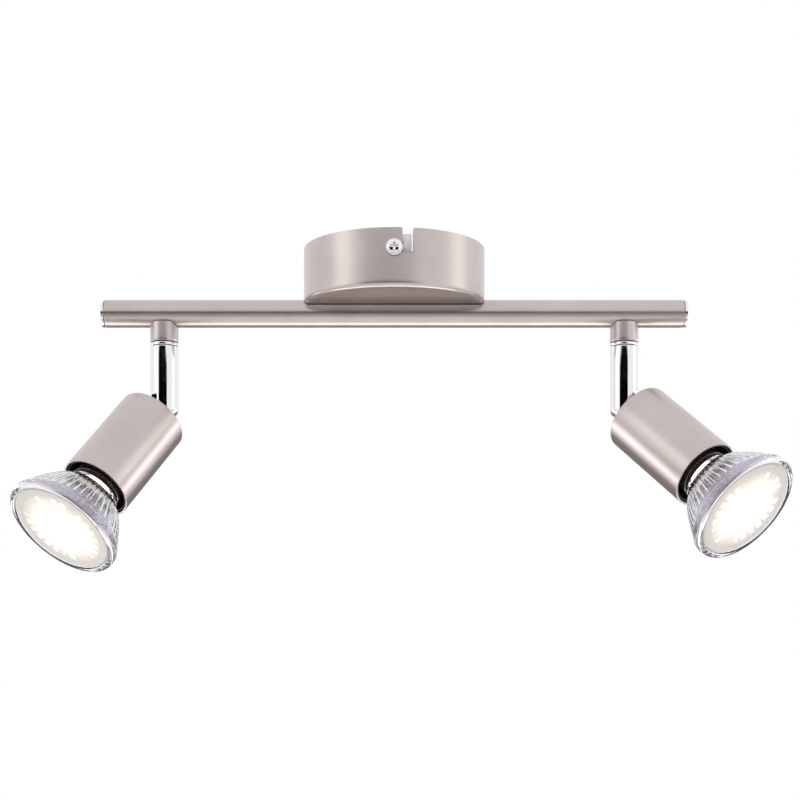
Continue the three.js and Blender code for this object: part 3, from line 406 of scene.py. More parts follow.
def steatite():
    """Unglazed steatite ceramic: off-white, dense and matt, with sparse grey specks."""
    material, tree, shader = begin("unglazed_steatite", {
        "Roughness": 0.6, "Base Color": linear("#ebe7df")})
    place = add(tree, "ShaderNodeTexCoord")
    specks = add(tree, "ShaderNodeTexNoise", {"Scale": 1 / (0.5 * MM), "Detail": 1.0},
                 {"Vector": (place, "Object")})
    tone = ramp(tree, specks, "Fac", [(0.25, linear("#b9b3a8")), (0.36, linear("#ebe7df"))])
    bump = add(tree, "ShaderNodeBump", {"Strength": 0.2, "Distance": 0.05 * MM}, {"Height": (specks, "Fac")})
    tree.links.new(tone.outputs["Color"], shader.inputs["Base Color"])
    tree.links.new(bump.outputs["Normal"], shader.inputs["Normal"])
    return material


def terminal_nylon():
    """Natural moulded nylon: milky, slightly see-through, with a soft moulded gloss."""
    material, tree, shader = begin("natural_nylon", {
        "Roughness": 0.35, "Base Color": linear("#f0efe8"), "Subsurface Weight": 0.3,
        "Subsurface Scale": 2 * MM})
    place = add(tree, "ShaderNodeTexCoord")
    flow = add(tree, "ShaderNodeTexNoise", {"Scale": 1 / (3 * MM), "Detail": 2.0},
               {"Vector": (place, "Object")})
    gloss = add(tree, "ShaderNodeMapRange", {"To Min": 0.28, "To Max": 0.42}, {"Value": (flow, "Fac")})
    tone = ramp(tree, flow, "Fac", [(0.3, linear("#e8e7df")), (0.7, linear("#f4f3ee"))])
    tree.links.new(tone.outputs["Color"], shader.inputs["Base Color"])
    tree.links.new(gloss.outputs["Result"], shader.inputs["Roughness"])
    return material


def bushing_rubber():
    """Moulded black rubber: dark, dull, with a faint bloom."""
    material, tree, shader = begin("black_moulded_rubber", {
        "Roughness": 0.75, "Base Color": linear("#232222")})
    place = add(tree, "ShaderNodeTexCoord")
    bloom = add(tree, "ShaderNodeTexNoise", {"Scale": 1 / (1.5 * MM), "Detail": 3.0},
                {"Vector": (place, "Object")})
    tone = ramp(tree, bloom, "Fac", [(0.35, linear("#1e1d1d")), (0.75, linear("#34322f"))])
    tree.links.new(tone.outputs["Color"], shader.inputs["Base Color"])
    return material


def silicone_sleeving():
    """Woven glass sleeving soaked in silicone: cream white, with a fine braid in its skin."""
    material, tree, shader = begin("silicone_glass_sleeving", {
        "Roughness": 0.5, "Base Color": linear("#e9e4d9"), "Sheen Weight": 0.15})
    place = add(tree, "ShaderNodeTexCoord")
    # the braid's cells are about 0.4 mm across
    braid = add(tree, "ShaderNodeTexVoronoi", {"Scale": 1 / (0.4 * MM)}, {"Vector": (place, "Object")})
    tone = ramp(tree, braid, "Distance", [(0.2, linear("#efebe2")), (0.8, linear("#cfc9bb"))])
    bump = add(tree, "ShaderNodeBump", {"Strength": 0.3, "Distance": 0.05 * MM, "invert": True},
               {"Height": (braid, "Distance")})
    tree.links.new(tone.outputs["Color"], shader.inputs["Base Color"])
    tree.links.new(bump.outputs["Normal"], shader.inputs["Normal"])
    return material


def pressed_glass():
    """Clear pressed soda glass with a faint cool tint: sharp edges of light and a slightly wavy skin."""
    material, tree, shader = begin("clear_pressed_glass", {
        "Roughness": 0.04, "Base Color": linear("#f3f2f7"), "IOR": 1.5, "Transmission Weight": 1.0})
    place = add(tree, "ShaderNodeTexCoord")
    waves = add(tree, "ShaderNodeTexNoise", {"Scale": 1 / (2.5 * MM), "Detail": 1.0},
                {"Vector": (place, "Object")})
    bump = add(tree, "ShaderNodeBump", {"Strength": 0.25, "Distance": 0.15 * MM},
               {"Height": (waves, "Fac")})
    tree.links.new(bump.outputs["Normal"], shader.inputs["Normal"])
    return material


def lamp_lens():
    """Satin-etched optical polycarbonate over the light source: it glows warm white in the middle,
    and single facets of its ring carry painted glints, extra emission standing in for the light they catch,
    while their neighbours stay grey."""
    material, tree, shader = begin("etched_optic", {
        "Roughness": 0.3, "Base Color": linear("#e3ded9"), "IOR": 1.5, "Transmission Weight": 0.25,
        "Emission Color": linear("#fff6e6")})
    own = add(tree, "ShaderNodeAttribute", {"attribute_name": "own_place"})
    parts = add(tree, "ShaderNodeSeparateXYZ", links={"Vector": (own, "Vector")})
    flat = add(tree, "ShaderNodeCombineXYZ", links={"X": (parts, "X"), "Y": (parts, "Y")})
    reach = add(tree, "ShaderNodeVectorMath", {"operation": "LENGTH"}, {0: (flat, "Vector")})
    share = add(tree, "ShaderNodeMath", {"operation": "DIVIDE", 1: LAMP_RADIUS * MM}, {0: (reach, "Value")})
    glow = add(tree, "ShaderNodeMapRange", {
        "From Min": 0.2, "From Max": 0.8, "To Min": 0.6, "To Max": 0.02,
        "interpolation_type": "SMOOTHSTEP"},
        {"Value": (share, "Value")})
    angle = add(tree, "ShaderNodeMath", {"operation": "ARCTAN2"}, {0: (parts, "Y"), 1: (parts, "X")})
    cell = add(tree, "ShaderNodeMath", {"operation": "MULTIPLY", 1: FACETS / (2 * math.pi)},
               {0: (angle, "Value")})
    number = add(tree, "ShaderNodeMath", {"operation": "ROUND"}, {0: (cell, "Value")})
    chance = add(tree, "ShaderNodeTexWhiteNoise", {"noise_dimensions": "1D"}, {"W": (number, "Value")})
    off_middle = add(tree, "ShaderNodeMath", {"operation": "SUBTRACT"},
                     {0: (cell, "Value"), 1: (number, "Value")})
    within = add(tree, "ShaderNodeMath", {"operation": "COMPARE", 1: 0.0, 2: 0.33},
                 {0: (off_middle, "Value")})
    ring = add(tree, "ShaderNodeMath", {"operation": "COMPARE", 1: FACET_RING, 2: FACET_REACH},
               {0: (share, "Value")})
    facet = add(tree, "ShaderNodeMath", {"operation": "MULTIPLY"},
                {0: (within, "Value"), 1: (ring, "Value")})
    # painted glints: a random share of the ring's facets emit extra light in place of highlights
    painted_facet_glint = add(tree, "ShaderNodeMath", {"operation": "MULTIPLY"},
                {0: (facet, "Value"), 1: (chance, "Value")})
    total = add(tree, "ShaderNodeMath", {"operation": "MULTIPLY_ADD", 1: 0.4},
                {0: (painted_facet_glint, "Value"), 2: (glow, "Result")})
    tree.links.new(total.outputs["Value"], shader.inputs["Emission Strength"])
    return material


def base_glass():
    """Glossy brown-black moulded shell of the lamp's base, like dark glass over a dark lining."""
    material, tree, shader = begin("dark_glossy_base", {
        "Roughness": 0.12, "Base Color": linear("#3b3431"), "Coat Weight": 0.6, "Coat Roughness": 0.05})
    place = add(tree, "ShaderNodeTexCoord")
    depth = add(tree, "ShaderNodeTexNoise", {"Scale": 1 / (4 * MM), "Detail": 2.0},
                {"Vector": (place, "Object")})
    tone = ramp(tree, depth, "Fac", [(0.3, linear("#2f2926")), (0.7, linear("#4a423e"))])
    tree.links.new(tone.outputs["Color"], shader.inputs["Base Color"])
    return material


def light_board():
    """White solder mask round a dome of phosphor that is lit: warm white, far brighter than its board."""
    material, tree, shader = begin("lit_phosphor_board", {
        "Roughness": 0.4, "Base Color": linear("#fbfaf5"), "Emission Color": linear("#fff3df")})
    own = add(tree, "ShaderNodeAttribute", {"attribute_name": "own_place"})
    reach = add(tree, "ShaderNodeVectorMath", {"operation": "MULTIPLY", 1: (1, 1, 0)}, {0: (own, "Vector")})
    far = add(tree, "ShaderNodeVectorMath", {"operation": "LENGTH"}, {0: (reach, "Vector")})
    glow = add(tree, "ShaderNodeMapRange", {
        "From Min": 5 * MM, "From Max": 7 * MM, "To Min": 2.5, "To Max": 0.3}, {"Value": (far, "Value")})
    tree.links.new(glow.outputs["Result"], shader.inputs["Emission Strength"])
    return material


def mirror_plastic():
    """Aluminised moulded plastic: a bright, slightly hazy mirror with a lilac-grey cast."""
    material, tree, shader = begin("aluminised_reflector", {
        "Metallic": 1.0, "Roughness": 0.28, "Base Color": linear("#dddae2")})
    place = add(tree, "ShaderNodeTexCoord")
    haze = add(tree, "ShaderNodeTexNoise", {"Scale": 1 / (3 * MM), "Detail": 3.0},
               {"Vector": (place, "Object")})
    gloss = add(tree, "ShaderNodeMapRange", {"To Min": 0.2, "To Max": 0.36}, {"Value": (haze, "Fac")})
    tree.links.new(gloss.outputs["Result"], shader.inputs["Roughness"])
    return material


FINISH = {
    "satin_nickel": satin_nickel(),
    "polished_chrome": polished_chrome(),
    "zinc_plated_steel": zinc_plate(),
    "steel_hardware": bright_steel(),
    "black_lining": black_lining(),
    "white_ceramic": steatite(),
    "terminal_plastic": terminal_nylon(),
    "bushing_rubber": bushing_rubber(),
    "lead_insulation": silicone_sleeving(),
    "clear_glass": pressed_glass(),
    "dark_base_glass": base_glass(),
    "led_board": light_board(),
    "mirror_plastic": mirror_plastic(),
}
LENS_FINISH = lamp_lens()

for entry in frame["record"]["subparts"]:
    node_mesh = frame["nodes"][entry["node"]].data
    node_mesh.materials.clear()
    node_mesh.materials.append(FINISH[entry["material_slot"]])


# ---------------------------------------------------------------- canopy

def canopy_columns():
    """Angles round the canopy, in degrees: even steps, finer over the tube, with one on each edge of
    the notches and slots, and one on each corner of the tube's channel."""
    notch = math.degrees(math.asin(KEY_HALF / CANOPY_RADIUS))
    slot_end = math.degrees(math.asin(SLOT_HALF / (CANOPY_RADIUS - CANOPY_WALL)))
    crease = math.degrees(math.asin(channel_half() / (CANOPY_RADIUS - CANOPY_EDGE)))
    even = np.arange(-180, 180, 1.5)
    fine = np.arange(-10.5, 10.5, 0.3)
    near_notch = -90 + KEY_ANGLE + np.linspace(-notch - 3, notch + 3, 17)
    exact = [-90 - slot_end, -90 + KEY_ANGLE - notch, -90 + KEY_ANGLE + notch]
    front = np.concatenate([near_notch, exact])
    turned = np.concatenate([even, fine, fine + 180, front, front + 180,
                             [crease, -crease, 180 - crease, 180 + crease]])
    wrapped = np.unique(np.round((turned + 180) % 360 - 180, 4))
    spaced = [wrapped[0]]
    edges = np.concatenate([exact, np.add(exact, 180), [crease, -crease, 180 - crease, crease - 180]])
    must = np.round((edges + 180) % 360 - 180, 4)
    for angle in wrapped[1:]:
        if angle - spaced[-1] < 0.12:
            if angle in must:
                spaced[-1] = angle
            continue
        spaced.append(angle)
    return np.array(spaced)


def channel_half():
    """Half the width of the tube's channel where it opens in the canopy's flat bottom."""
    return math.sqrt(CHANNEL_RADIUS ** 2 - (CANOPY_BOTTOM - BAR_Z) ** 2)


def over_tube(grid):
    """Raises whatever is below the top of the tube's channel to it: z = tube axis + root of
    (channel radius squared - y squared)."""
    y = grid[..., 1]
    arch = BAR_Z + np.sqrt(np.clip(CHANNEL_RADIUS ** 2 - y ** 2, 0, None))
    arch = np.where(np.abs(y) < CHANNEL_RADIUS, arch, -1e3)
    grid[..., 2] = np.maximum(grid[..., 2], arch)
    return grid


def canopy_shell():
    """The wall is a circle carried down from the rim and round the lower edge; near a notch its
    columns lean out to the notch's rounded corners. The bottom is a disc whose rows follow the
    crease of the tube's channel. Cells inside a notch or slot are left out."""
    angle = canopy_columns()
    depth = -SCREW_Z
    rim = np.array([0, 0.1, 0.22, 0.4, 0.6, KEY_CORNER])
    lower = np.linspace(depth + SLOT_HALF, -CANOPY_BOTTOM - CANOPY_EDGE, 12)
    wall_z = -np.concatenate([rim, np.linspace(1.6, depth - SLOT_HALF, 5),
                              np.linspace(depth - SLOT_HALF, depth + SLOT_HALF, 5)[1:], lower[1:]])
    bend = np.radians(np.linspace(0, -90, 13))[1:]
    edge_r = CANOPY_RADIUS - CANOPY_EDGE + CANOPY_EDGE * np.cos(bend)
    edge_z = CANOPY_BOTTOM + CANOPY_EDGE + CANOPY_EDGE * np.sin(bend)
    r = np.concatenate([np.full(len(wall_z), CANOPY_RADIUS), edge_r])
    z = np.concatenate([wall_z, edge_z])
    corner_rise = np.clip(KEY_CORNER + z, 0, None)
    lean = KEY_CORNER - np.sqrt(np.clip(KEY_CORNER ** 2 - corner_rise ** 2, 0, None))
    turn = np.repeat(angle[None, :], len(z), 0)
    for centre in (-90 + KEY_ANGLE, 90 + KEY_ANGLE):
        off = (angle - centre + 180) % 360 - 180
        away = np.abs(off) * math.radians(CANOPY_RADIUS) - KEY_HALF
        pull = np.sign(off) * np.clip(1 - np.abs(away) / 3, 0, 1)
        turn = turn + np.degrees(lean[:, None] * pull / CANOPY_RADIUS)
    around = np.radians(turn)
    wall = np.stack([r[:, None] * np.cos(around), r[:, None] * np.sin(around),
                     np.repeat(z[:, None], len(angle), 1)], -1)
    middle_z = (z[1:] + z[:-1])[:, None] / 2
    middle_a = (angle + np.roll(angle, -1)) / 2
    middle_a[-1] = (angle[-1] + angle[0] + 360) / 2
    notch = math.degrees(math.asin(KEY_HALF / CANOPY_RADIUS))
    slot_end = math.degrees(math.asin(SLOT_HALF / (CANOPY_RADIUS - CANOPY_WALL)))
    keep = np.ones((len(z) - 1, len(angle)), bool)
    for front in (-90, 90):
        off = (middle_a - front + 180) % 360 - 180
        in_notch = (np.abs(off - KEY_ANGLE) < notch) & (middle_z > -depth - SLOT_HALF)
        in_slot = (off > -slot_end) & (off < KEY_ANGLE) & (np.abs(middle_z + depth) < SLOT_HALF)
        keep &= ~(in_notch | in_slot)
    flat = CANOPY_RADIUS - CANOPY_EDGE
    sine = np.abs(np.sin(np.radians(angle)))
    crease = np.minimum(channel_half() / np.maximum(sine, 1e-6), flat)
    inner = np.linspace(0, 1, 20)[:, None] * crease
    outer = crease + np.linspace(0, 1, 10)[1:, None] * (flat - crease)
    disc_r = np.concatenate([inner, outer])[::-1]
    disc = np.stack([disc_r * np.cos(np.radians(angle)), disc_r * np.sin(np.radians(angle)),
                     np.full(disc_r.shape, CANOPY_BOTTOM)], -1)
    grids = [closed(over_tube(wall)), closed(over_tube(disc))]
    return mesh_of("canopy_shell", grids, STILL, [keep, None])


made("canopy_shell", canopy_shell(), "canopy_and_bar", "satin_nickel", FINISH["satin_nickel"], ["canopy"],
     wall=CANOPY_WALL)


# ---------------------------------------------------------------- bracket, screws and terminal block

def screw_head(recess_reach, recess_half, profile, face, sides=160):
    """The profile spun round Z, with a cross pressed into the end at height face: wherever a point
    is within the cross it sinks by up to 1.8 mm, less towards the cross's ends."""
    grid = spun(profile, sides)
    x, y, z = np.moveaxis(grid, -1, 0)
    arm_x = (np.abs(y) < recess_half) & (np.abs(x) < recess_reach)
    arm_y = (np.abs(x) < recess_half) & (np.abs(y) < recess_reach)
    far = np.maximum(np.abs(x), np.abs(y)) / recess_reach
    sink = np.where((arm_x | arm_y) & (z > face - 1), 1.8 * (1 - 0.4 * far), 0)
    grid[..., 2] = z - sink
    return grid


def dome(radius, rise, z, count=26):
    """Points down a shallow dome from its rim to its top: height falls off with radius squared."""
    r = np.linspace(radius, 0, count)
    return np.stack([r, z + rise * (1 - (r / radius) ** 2)], -1)


def canopy_screw():
    """Flanged head with a domed, cross-recessed top on a plain shank, made pointing up from the
    canopy's axis: heights are distances from it."""
    seat = CANOPY_RADIUS + GAP
    tip = -SCREW_TIP_Y
    flange = 0.8
    body = rounded([
        (0, 26.0), (1.75, 26.0), (1.75, seat, 0.05), (WASHER_RADIUS, seat, 0.15),
        (WASHER_RADIUS, seat + flange, 0.25), (2.7, seat + flange, 0.1), (2.7, tip - 0.7, 0.5),
        (2.25, tip - 0.35)], 0.1, 3)
    top = dome(2.25, 0.33, tip - 0.35)[1:]
    return screw_head(1.75, 0.5, np.concatenate([body, top]), tip)


for which, facing in (("front", -1), ("rear", 1)):
    along = Vector((0, facing, 0))
    # The front screw's axes are left-handed, so it is mirrored and its faces point inwards.
    place = axes(Vector((-1, 0, 0)), UP, along, Vector((0, 0, SCREW_Z * MM)))
    made(f"{which}_canopy_screw", mesh_of("screw", [canopy_screw()], place), "bracket", "polished_chrome",
         FINISH["polished_chrome"], [f"canopy_screw_{which}"])

softened("mounting_bracket", "bracket", "zinc_plated_steel", FINISH["zinc_plated_steel"], 0.22,
         "bracket_strap")
softened("terminal_block", "bracket", "terminal_plastic", FINISH["terminal_plastic"], 0.35,
         "terminal_housing")


# ---------------------------------------------------------------- tube and end caps

def bar_tube():
    """A round tube: its outer wall, its rounded ends and its bore, one closed profile spun."""
    inner = BAR_RADIUS - BAR_WALL
    half = BAR_HALF_LENGTH
    stations = np.linspace(-half + 1, half - 1, 40)
    outer = np.stack([np.full(40, BAR_RADIUS), stations], -1)
    ends = rounded([(BAR_RADIUS, half - 1), (BAR_RADIUS, half), (inner, half), (inner, half - 1)], 0.15, 3)
    other = ends[::-1] * (1, -1)
    return np.concatenate([outer, ends[1:], other, outer[:1]])


def end_cap():
    """A shallow dome on a short rim, with a spigot that goes into the tube."""
    face = CAP_OUTER - 0.5
    back = face - 1.2
    spigot = BAR_RADIUS - BAR_WALL - GAP
    rim = rounded([
        (0, back), (spigot - 0.8, back), (spigot - 0.8, back - 5), (spigot, back - 5), (spigot, back, 0.05),
        (BAR_RADIUS, back, 0.1), (BAR_RADIUS, face, 0.3), (BAR_RADIUS - 0.7, face + 0.08)], 0.12, 4)
    return np.concatenate([rim, dome(BAR_RADIUS - 0.7, 0.42, face + 0.08, 14)[1:]])


made("tube", mesh_of("tube", [spun(bar_tube())], ALONG_X), "canopy_and_bar", "satin_nickel",
     FINISH["satin_nickel"], ["bar_tube"])
for side, facing in (("left", -1), ("right", 1)):
    place = axes(Vector((0, 0, -facing)), Vector((0, 1, 0)), Vector((facing, 0, 0)),
                 Vector((0, 0, BAR_Z * MM)))
    made(f"{side}_tube_cap", mesh_of("cap", [spun(end_cap())], place), "canopy_and_bar",
         "polished_chrome", FINISH["polished_chrome"], [f"{side}_end_cap"])


# ---------------------------------------------------------------- sleeve, ring and arm

def sleeve():
    """A collar whose top is cut to the tube: the height over each point is the tube's axis less the
    root of (channel radius squared - y squared), or the collar's flat top where that is lower."""
    angle = np.linspace(0, 2 * math.pi, 128, endpoint=False)
    bore = 2.7
    bottom, top = sleeve_low[2], sleeve_high[2]
    r_out = SLEEVE_RADIUS

    def saddle(r):
        y = r * np.sin(angle)
        return np.minimum(top, BAR_Z - np.sqrt(CHANNEL_RADIUS ** 2 - y ** 2))

    def ring(r, z):
        return np.stack([r * np.cos(angle), r * np.sin(angle), np.broadcast_to(z, angle.shape)], -1)

    chamfer = 0.3
    side = [ring(r_out, bottom + chamfer + share * (saddle(r_out) - bottom - chamfer))
            for share in np.linspace(0, 1, 9)]
    low = [ring(bore, bottom), ring(r_out - chamfer, bottom),
           ring(r_out - chamfer * 0.3, bottom + chamfer * 0.3)]
    over = [ring(r, saddle(r)) for r in np.linspace(r_out, bore, 9)[1:]]
    return closed(np.array([*low, *side, *over, ring(bore, bottom)]))


def swivel_ring():
    """A thin washer with rounded edges."""
    inner, outer = 2.7, ARM_RADIUS - 0.1
    low, high = ring_low[2], ring_high[2]
    return rounded([(inner, (low + high) / 2), (inner, low), (outer, low, 0.35), (outer, high, 0.35),
                    (inner, high), (inner, (low + high) / 2)], 0.1, 4)


def slotted_arm(screw_side):
    """A post with a rounded lower end and a slot for the tongue. Below the slot's top its section is
    a C: columns run round the outside from one edge of the slot to the other and have partners on
    the slot's sides and web. Above it the section is the full circle. A round seat for the
    pivot screw is sunk into one side."""
    bottom, top = arm_low[2], arm_high[2]
    half = TONGUE / 2 + GAP
    web = -(TONGUE_EYE + GAP)
    bend = np.radians(np.linspace(0, 90, 11))
    z = np.concatenate([bottom + ARM_END * (1 - np.cos(bend)),
                        np.linspace(bottom + ARM_END, SLOT_TOP, 18)[1:]])[:, None]
    radius = np.concatenate([ARM_RADIUS - ARM_END + ARM_END * np.sin(bend),
                             np.full(17, ARM_RADIUS)])[:, None]
    edge = np.arcsin(half / radius)
    cheek = np.linspace(0, 1, 41)
    back = np.linspace(0, 1, 9)
    turn = np.concatenate([edge + (math.pi - 2 * edge) * cheek, math.pi - edge + 2 * edge * back[1:-1],
                           math.pi + edge + (math.pi - 2 * edge) * cheek], 1)
    x, y = radius * np.cos(turn), radius * np.sin(turn)
    on_web = np.abs(y) < half * 0.999
    outside_x = np.where(on_web & (x < 0), np.minimum(x, web - 0.05), x)
    front = radius * np.cos(edge)
    slot_x = np.where(on_web, web, web + (x + front) * (front - web) / (2 * front))
    slot_y = np.where(on_web, y, np.sign(y) * half)
    level = np.broadcast_to(z, x.shape)
    outside = np.stack([outside_x, y, level], -1)
    seat_depth = 3.15
    seat_radius = 3.1
    off = np.hypot(x, z - PIVOT_Z)
    on_side = y * screw_side > half
    snap = on_side & (np.abs(off - seat_radius) < 0.24)
    scale = np.where(snap, seat_radius / np.maximum(off, 1e-6), 1)
    outside[..., 0] *= scale
    outside[..., 2] = PIVOT_Z + (outside[..., 2] - PIVOT_Z) * scale
    reach = np.sqrt(np.clip(radius ** 2 - outside[..., 0] ** 2, 0, None))
    outside[..., 1] = np.where(snap, np.sign(y) * reach, outside[..., 1])
    sunk = on_side & (off < seat_radius - 0.24)
    outside[..., 1] = np.where(sunk, np.sign(y) * seat_depth, outside[..., 1])
    slot = np.stack([slot_x, slot_y, level], -1)
    foot = np.stack([outside[0], slot[0]])
    opening = np.linspace(-edge[-1, 0], edge[-1, 0], 9)[1:-1]
    full = np.concatenate([turn[-1], 2 * math.pi + opening])
    rise = rounded([(ARM_RADIUS, SLOT_TOP), (ARM_RADIUS, top), (2.7, top), (0, top)], 0.25, 4)
    rise = np.concatenate([[(ARM_RADIUS, level_z) for level_z in np.linspace(SLOT_TOP, top - 1, 12)],
                           rise[1:]])
    post = closed(np.stack([rise[:, :1] * np.cos(full), rise[:, :1] * np.sin(full),
                            np.repeat(rise[:, 1:], len(full), 1)], -1))
    row_y = ARM_RADIUS * np.sin(np.linspace(edge[-1, 0], -edge[-1, 0], 9))[:, None]
    share = (slot_x[-1, :41] - web) / (front[-1, 0] - web)
    roof_x = web + share * (np.sqrt(ARM_RADIUS ** 2 - row_y ** 2) - web)
    roof = np.stack([roof_x, np.broadcast_to(row_y, roof_x.shape), np.full(roof_x.shape, SLOT_TOP)], -1)
    return [outside, slot, foot, post, roof]


def pivot_screw():
    """Cheese head with a cross recess on a plain shank, pointing up from the pivot."""
    face = ARM_RADIUS - 0.9
    seat = face - 1.9
    body = rounded([(0, -4.3), (1.4, -4.3), (1.4, seat, 0.05), (2.6, seat, 0.1), (2.6, face, 0.35),
                    (1.9, face + 0.02)], 0.1, 3)
    return screw_head(1.75, 0.42, np.concatenate([body, dome(1.9, 0.05, face + 0.02, 22)[1:]]), face)


# ---------------------------------------------------------------- spot head

def tongue_plate():
    """The flat eye: across it, rows run from edge to edge at heights down the outline, a half circle
    on two straight sides; through it, a front, a rim and a back."""
    foot = -9.4
    bend = np.radians(np.linspace(90, 0, 15))
    height = np.concatenate([TONGUE_EYE * np.sin(bend), np.linspace(0, foot, 6)[1:]])
    half = np.concatenate([TONGUE_EYE * np.cos(bend), np.full(5, TONGUE_EYE)])
    ease = 0.3
    across = np.linspace(-1, 1, 13)
    thick = TONGUE / 2

    def face(y, inset):
        shrink = np.maximum(half - inset, 0)
        tall = np.minimum(height, TONGUE_EYE - inset)
        return np.stack([shrink[:, None] * across, np.full((len(half), 13), y),
                         np.repeat(tall[:, None], 13, 1)], -1)

    front, back = face(-thick, ease), face(thick, ease)
    layers = [face(-thick, ease), face(-thick + ease, 0), face(thick - ease, 0), face(thick, ease)]
    left = np.stack([layer[:, 0] for layer in layers])
    right = np.stack([layer[:, -1] for layer in layers])
    low = np.stack([layer[-1] for layer in layers])
    return [front, back, left, right, low]


def tongue_flange():
    """The round foot that clamps against the spot's closed end, and the stud through it."""
    top = HOUSING_TOP + GAP + 1.6
    low = HOUSING_TOP + GAP
    end = -16.0
    return rounded([(0, top), (6.5, top, 0.4), (6.5, low, 0.15), (3.4, low, 0.05), (3.4, end, 0.2),
                    (2.3, end, 0.1), (2.3, low + 0.2, 0.1), (0, low + 0.2)], 0.1, 4)


def housing():
    """A cup with a pierced closed end: outer wall, thin rolled mouth, bore, and the end's two faces."""
    inner = HOUSING_RADIUS - HOUSING_WALL
    ceiling = HOUSING_TOP - 1.2
    hole = 3.7
    walls = np.linspace(HOUSING_TOP - 2, HOUSING_MOUTH + 2, 14)
    shoulder = rounded([(hole, ceiling), (hole, HOUSING_TOP), (HOUSING_RADIUS, HOUSING_TOP, 0.7),
                        (HOUSING_RADIUS, walls[0])], 0.08, 8)
    side = np.stack([np.full(14, HOUSING_RADIUS), walls], -1)
    mouth = rounded([(HOUSING_RADIUS, walls[-1]), (HOUSING_RADIUS, HOUSING_MOUTH), (inner, HOUSING_MOUTH),
                     (inner, walls[-1])], 0.22, 4)
    roof = rounded([(inner, walls[-1]), (inner, ceiling), (hole, ceiling)], 0.4, 4)
    return np.concatenate([shoulder, side[1:], mouth[1:], roof[1:]])


def lining():
    """A thin tube inside the spot with a rounded lip."""
    outer = HOUSING_RADIUS - HOUSING_WALL - GAP
    inner = outer - 0.8
    low, high = HOUSING_MOUTH + 0.8, HOUSING_TOP - 1.5
    middle = (low + high) / 2
    return rounded([(inner, middle), (inner, low), (outer, low), (outer, high), (inner, high),
                    (inner, middle)], 0.2, 3)


# ---------------------------------------------------------------- reflector lamp

def lamp_base():
    """The round shell in the holder, with a chamfered seat and a fine groove near the glass."""
    groove = 0.35
    return rounded([
        (0, 0), (BASE_RADIUS - 1.5, 0, 0.3), (BASE_RADIUS, -1.5, 0.5), (BASE_RADIUS, BASE_END + 2.6, 0.1),
        (BASE_RADIUS - groove, BASE_END + 2.3, 0.1), (BASE_RADIUS - groove, BASE_END + 1.9, 0.1),
        (BASE_RADIUS, BASE_END + 1.6, 0.1),
        (BASE_RADIUS, BASE_END, 0.25), (0, BASE_END)], 0.2, 4)


def flare(z):
    """Radius of the flared glass: from the neck it grows with the depth's share to the power 0.65."""
    neck = BASE_RADIUS + 1.3
    start = GLASS_TOP - 2
    share = np.clip((start - z) / (start - RIM_BACK), 0, 1)
    return neck + (LAMP_RADIUS - 0.6 - neck) * share ** 0.65


def flared_glass(sides=768):
    """The glass from its neck to its rim. Between them the outside carries ribs: the radius is full
    where the cosine of the rib count times the angle is high and falls by the rib depth where it
    is low, and the depth eases in and out along the flare. The inside is plain."""
    angle = np.linspace(0, 2 * math.pi, sides, endpoint=False)
    start = GLASS_TOP - 2
    neck = rounded([(6, GLASS_TOP), (BASE_RADIUS + 1.0, GLASS_TOP, 0.3),
                    (BASE_RADIUS + 1.45, start + 0.9, 0.5), (BASE_RADIUS + 1.2, start, 0.1),
                    (flare(start - 0.4), start - 0.4)], 0.3, 4)
    ribbed_z = np.linspace(start - 0.4, RIM_BACK, 46)
    rim = rounded([(flare(RIM_BACK), RIM_BACK), (LAMP_RADIUS, RIM_BACK - 0.6, 0.5),
                   (LAMP_RADIUS, LAMP_FACE, 1.3), (LAMP_RADIUS - RIM_LIP, LAMP_FACE, 0.9),
                   (LAMP_RADIUS - RIM_LIP, LAMP_FACE + 2.0)], 0.3, 6)
    inner_z = np.linspace(RIM_BACK, start - 1.5, 24)
    inner = np.stack([flare(inner_z) - GLASS_WALL, inner_z], -1)
    floor = np.array([(BASE_RADIUS - GAP, GLASS_TOP - 2.6), (6, GLASS_TOP - 2.6), (6, GLASS_TOP)])
    r = np.concatenate([neck[:-1, 0], flare(ribbed_z), rim[1:, 0], inner[:, 0], floor[:, 0]])
    z = np.concatenate([neck[:-1, 1], ribbed_z, rim[1:, 1], inner[:, 1], floor[:, 1]])
    share = np.clip((start - 0.4 - z) / (start - 0.4 - RIM_BACK), 0, 1)
    ease = np.clip(share / 0.08, 0, 1) * np.clip((0.93 - share) / 0.07, 0, 1)
    on_flare = np.zeros(len(z))
    first = len(neck) - 1
    on_flare[first:first + len(ribbed_z)] = 1
    height = (on_flare * ease)[:, None]
    rib = (np.clip(np.cos(RIBS * angle) * 1.6 + 0.3, -1, 1) - 1) * RIB_DEPTH / 2
    wide = r[:, None] + height * rib
    return closed(np.stack([wide * np.cos(angle), wide * np.sin(angle), np.repeat(z[:, None], sides, 1)], -1))


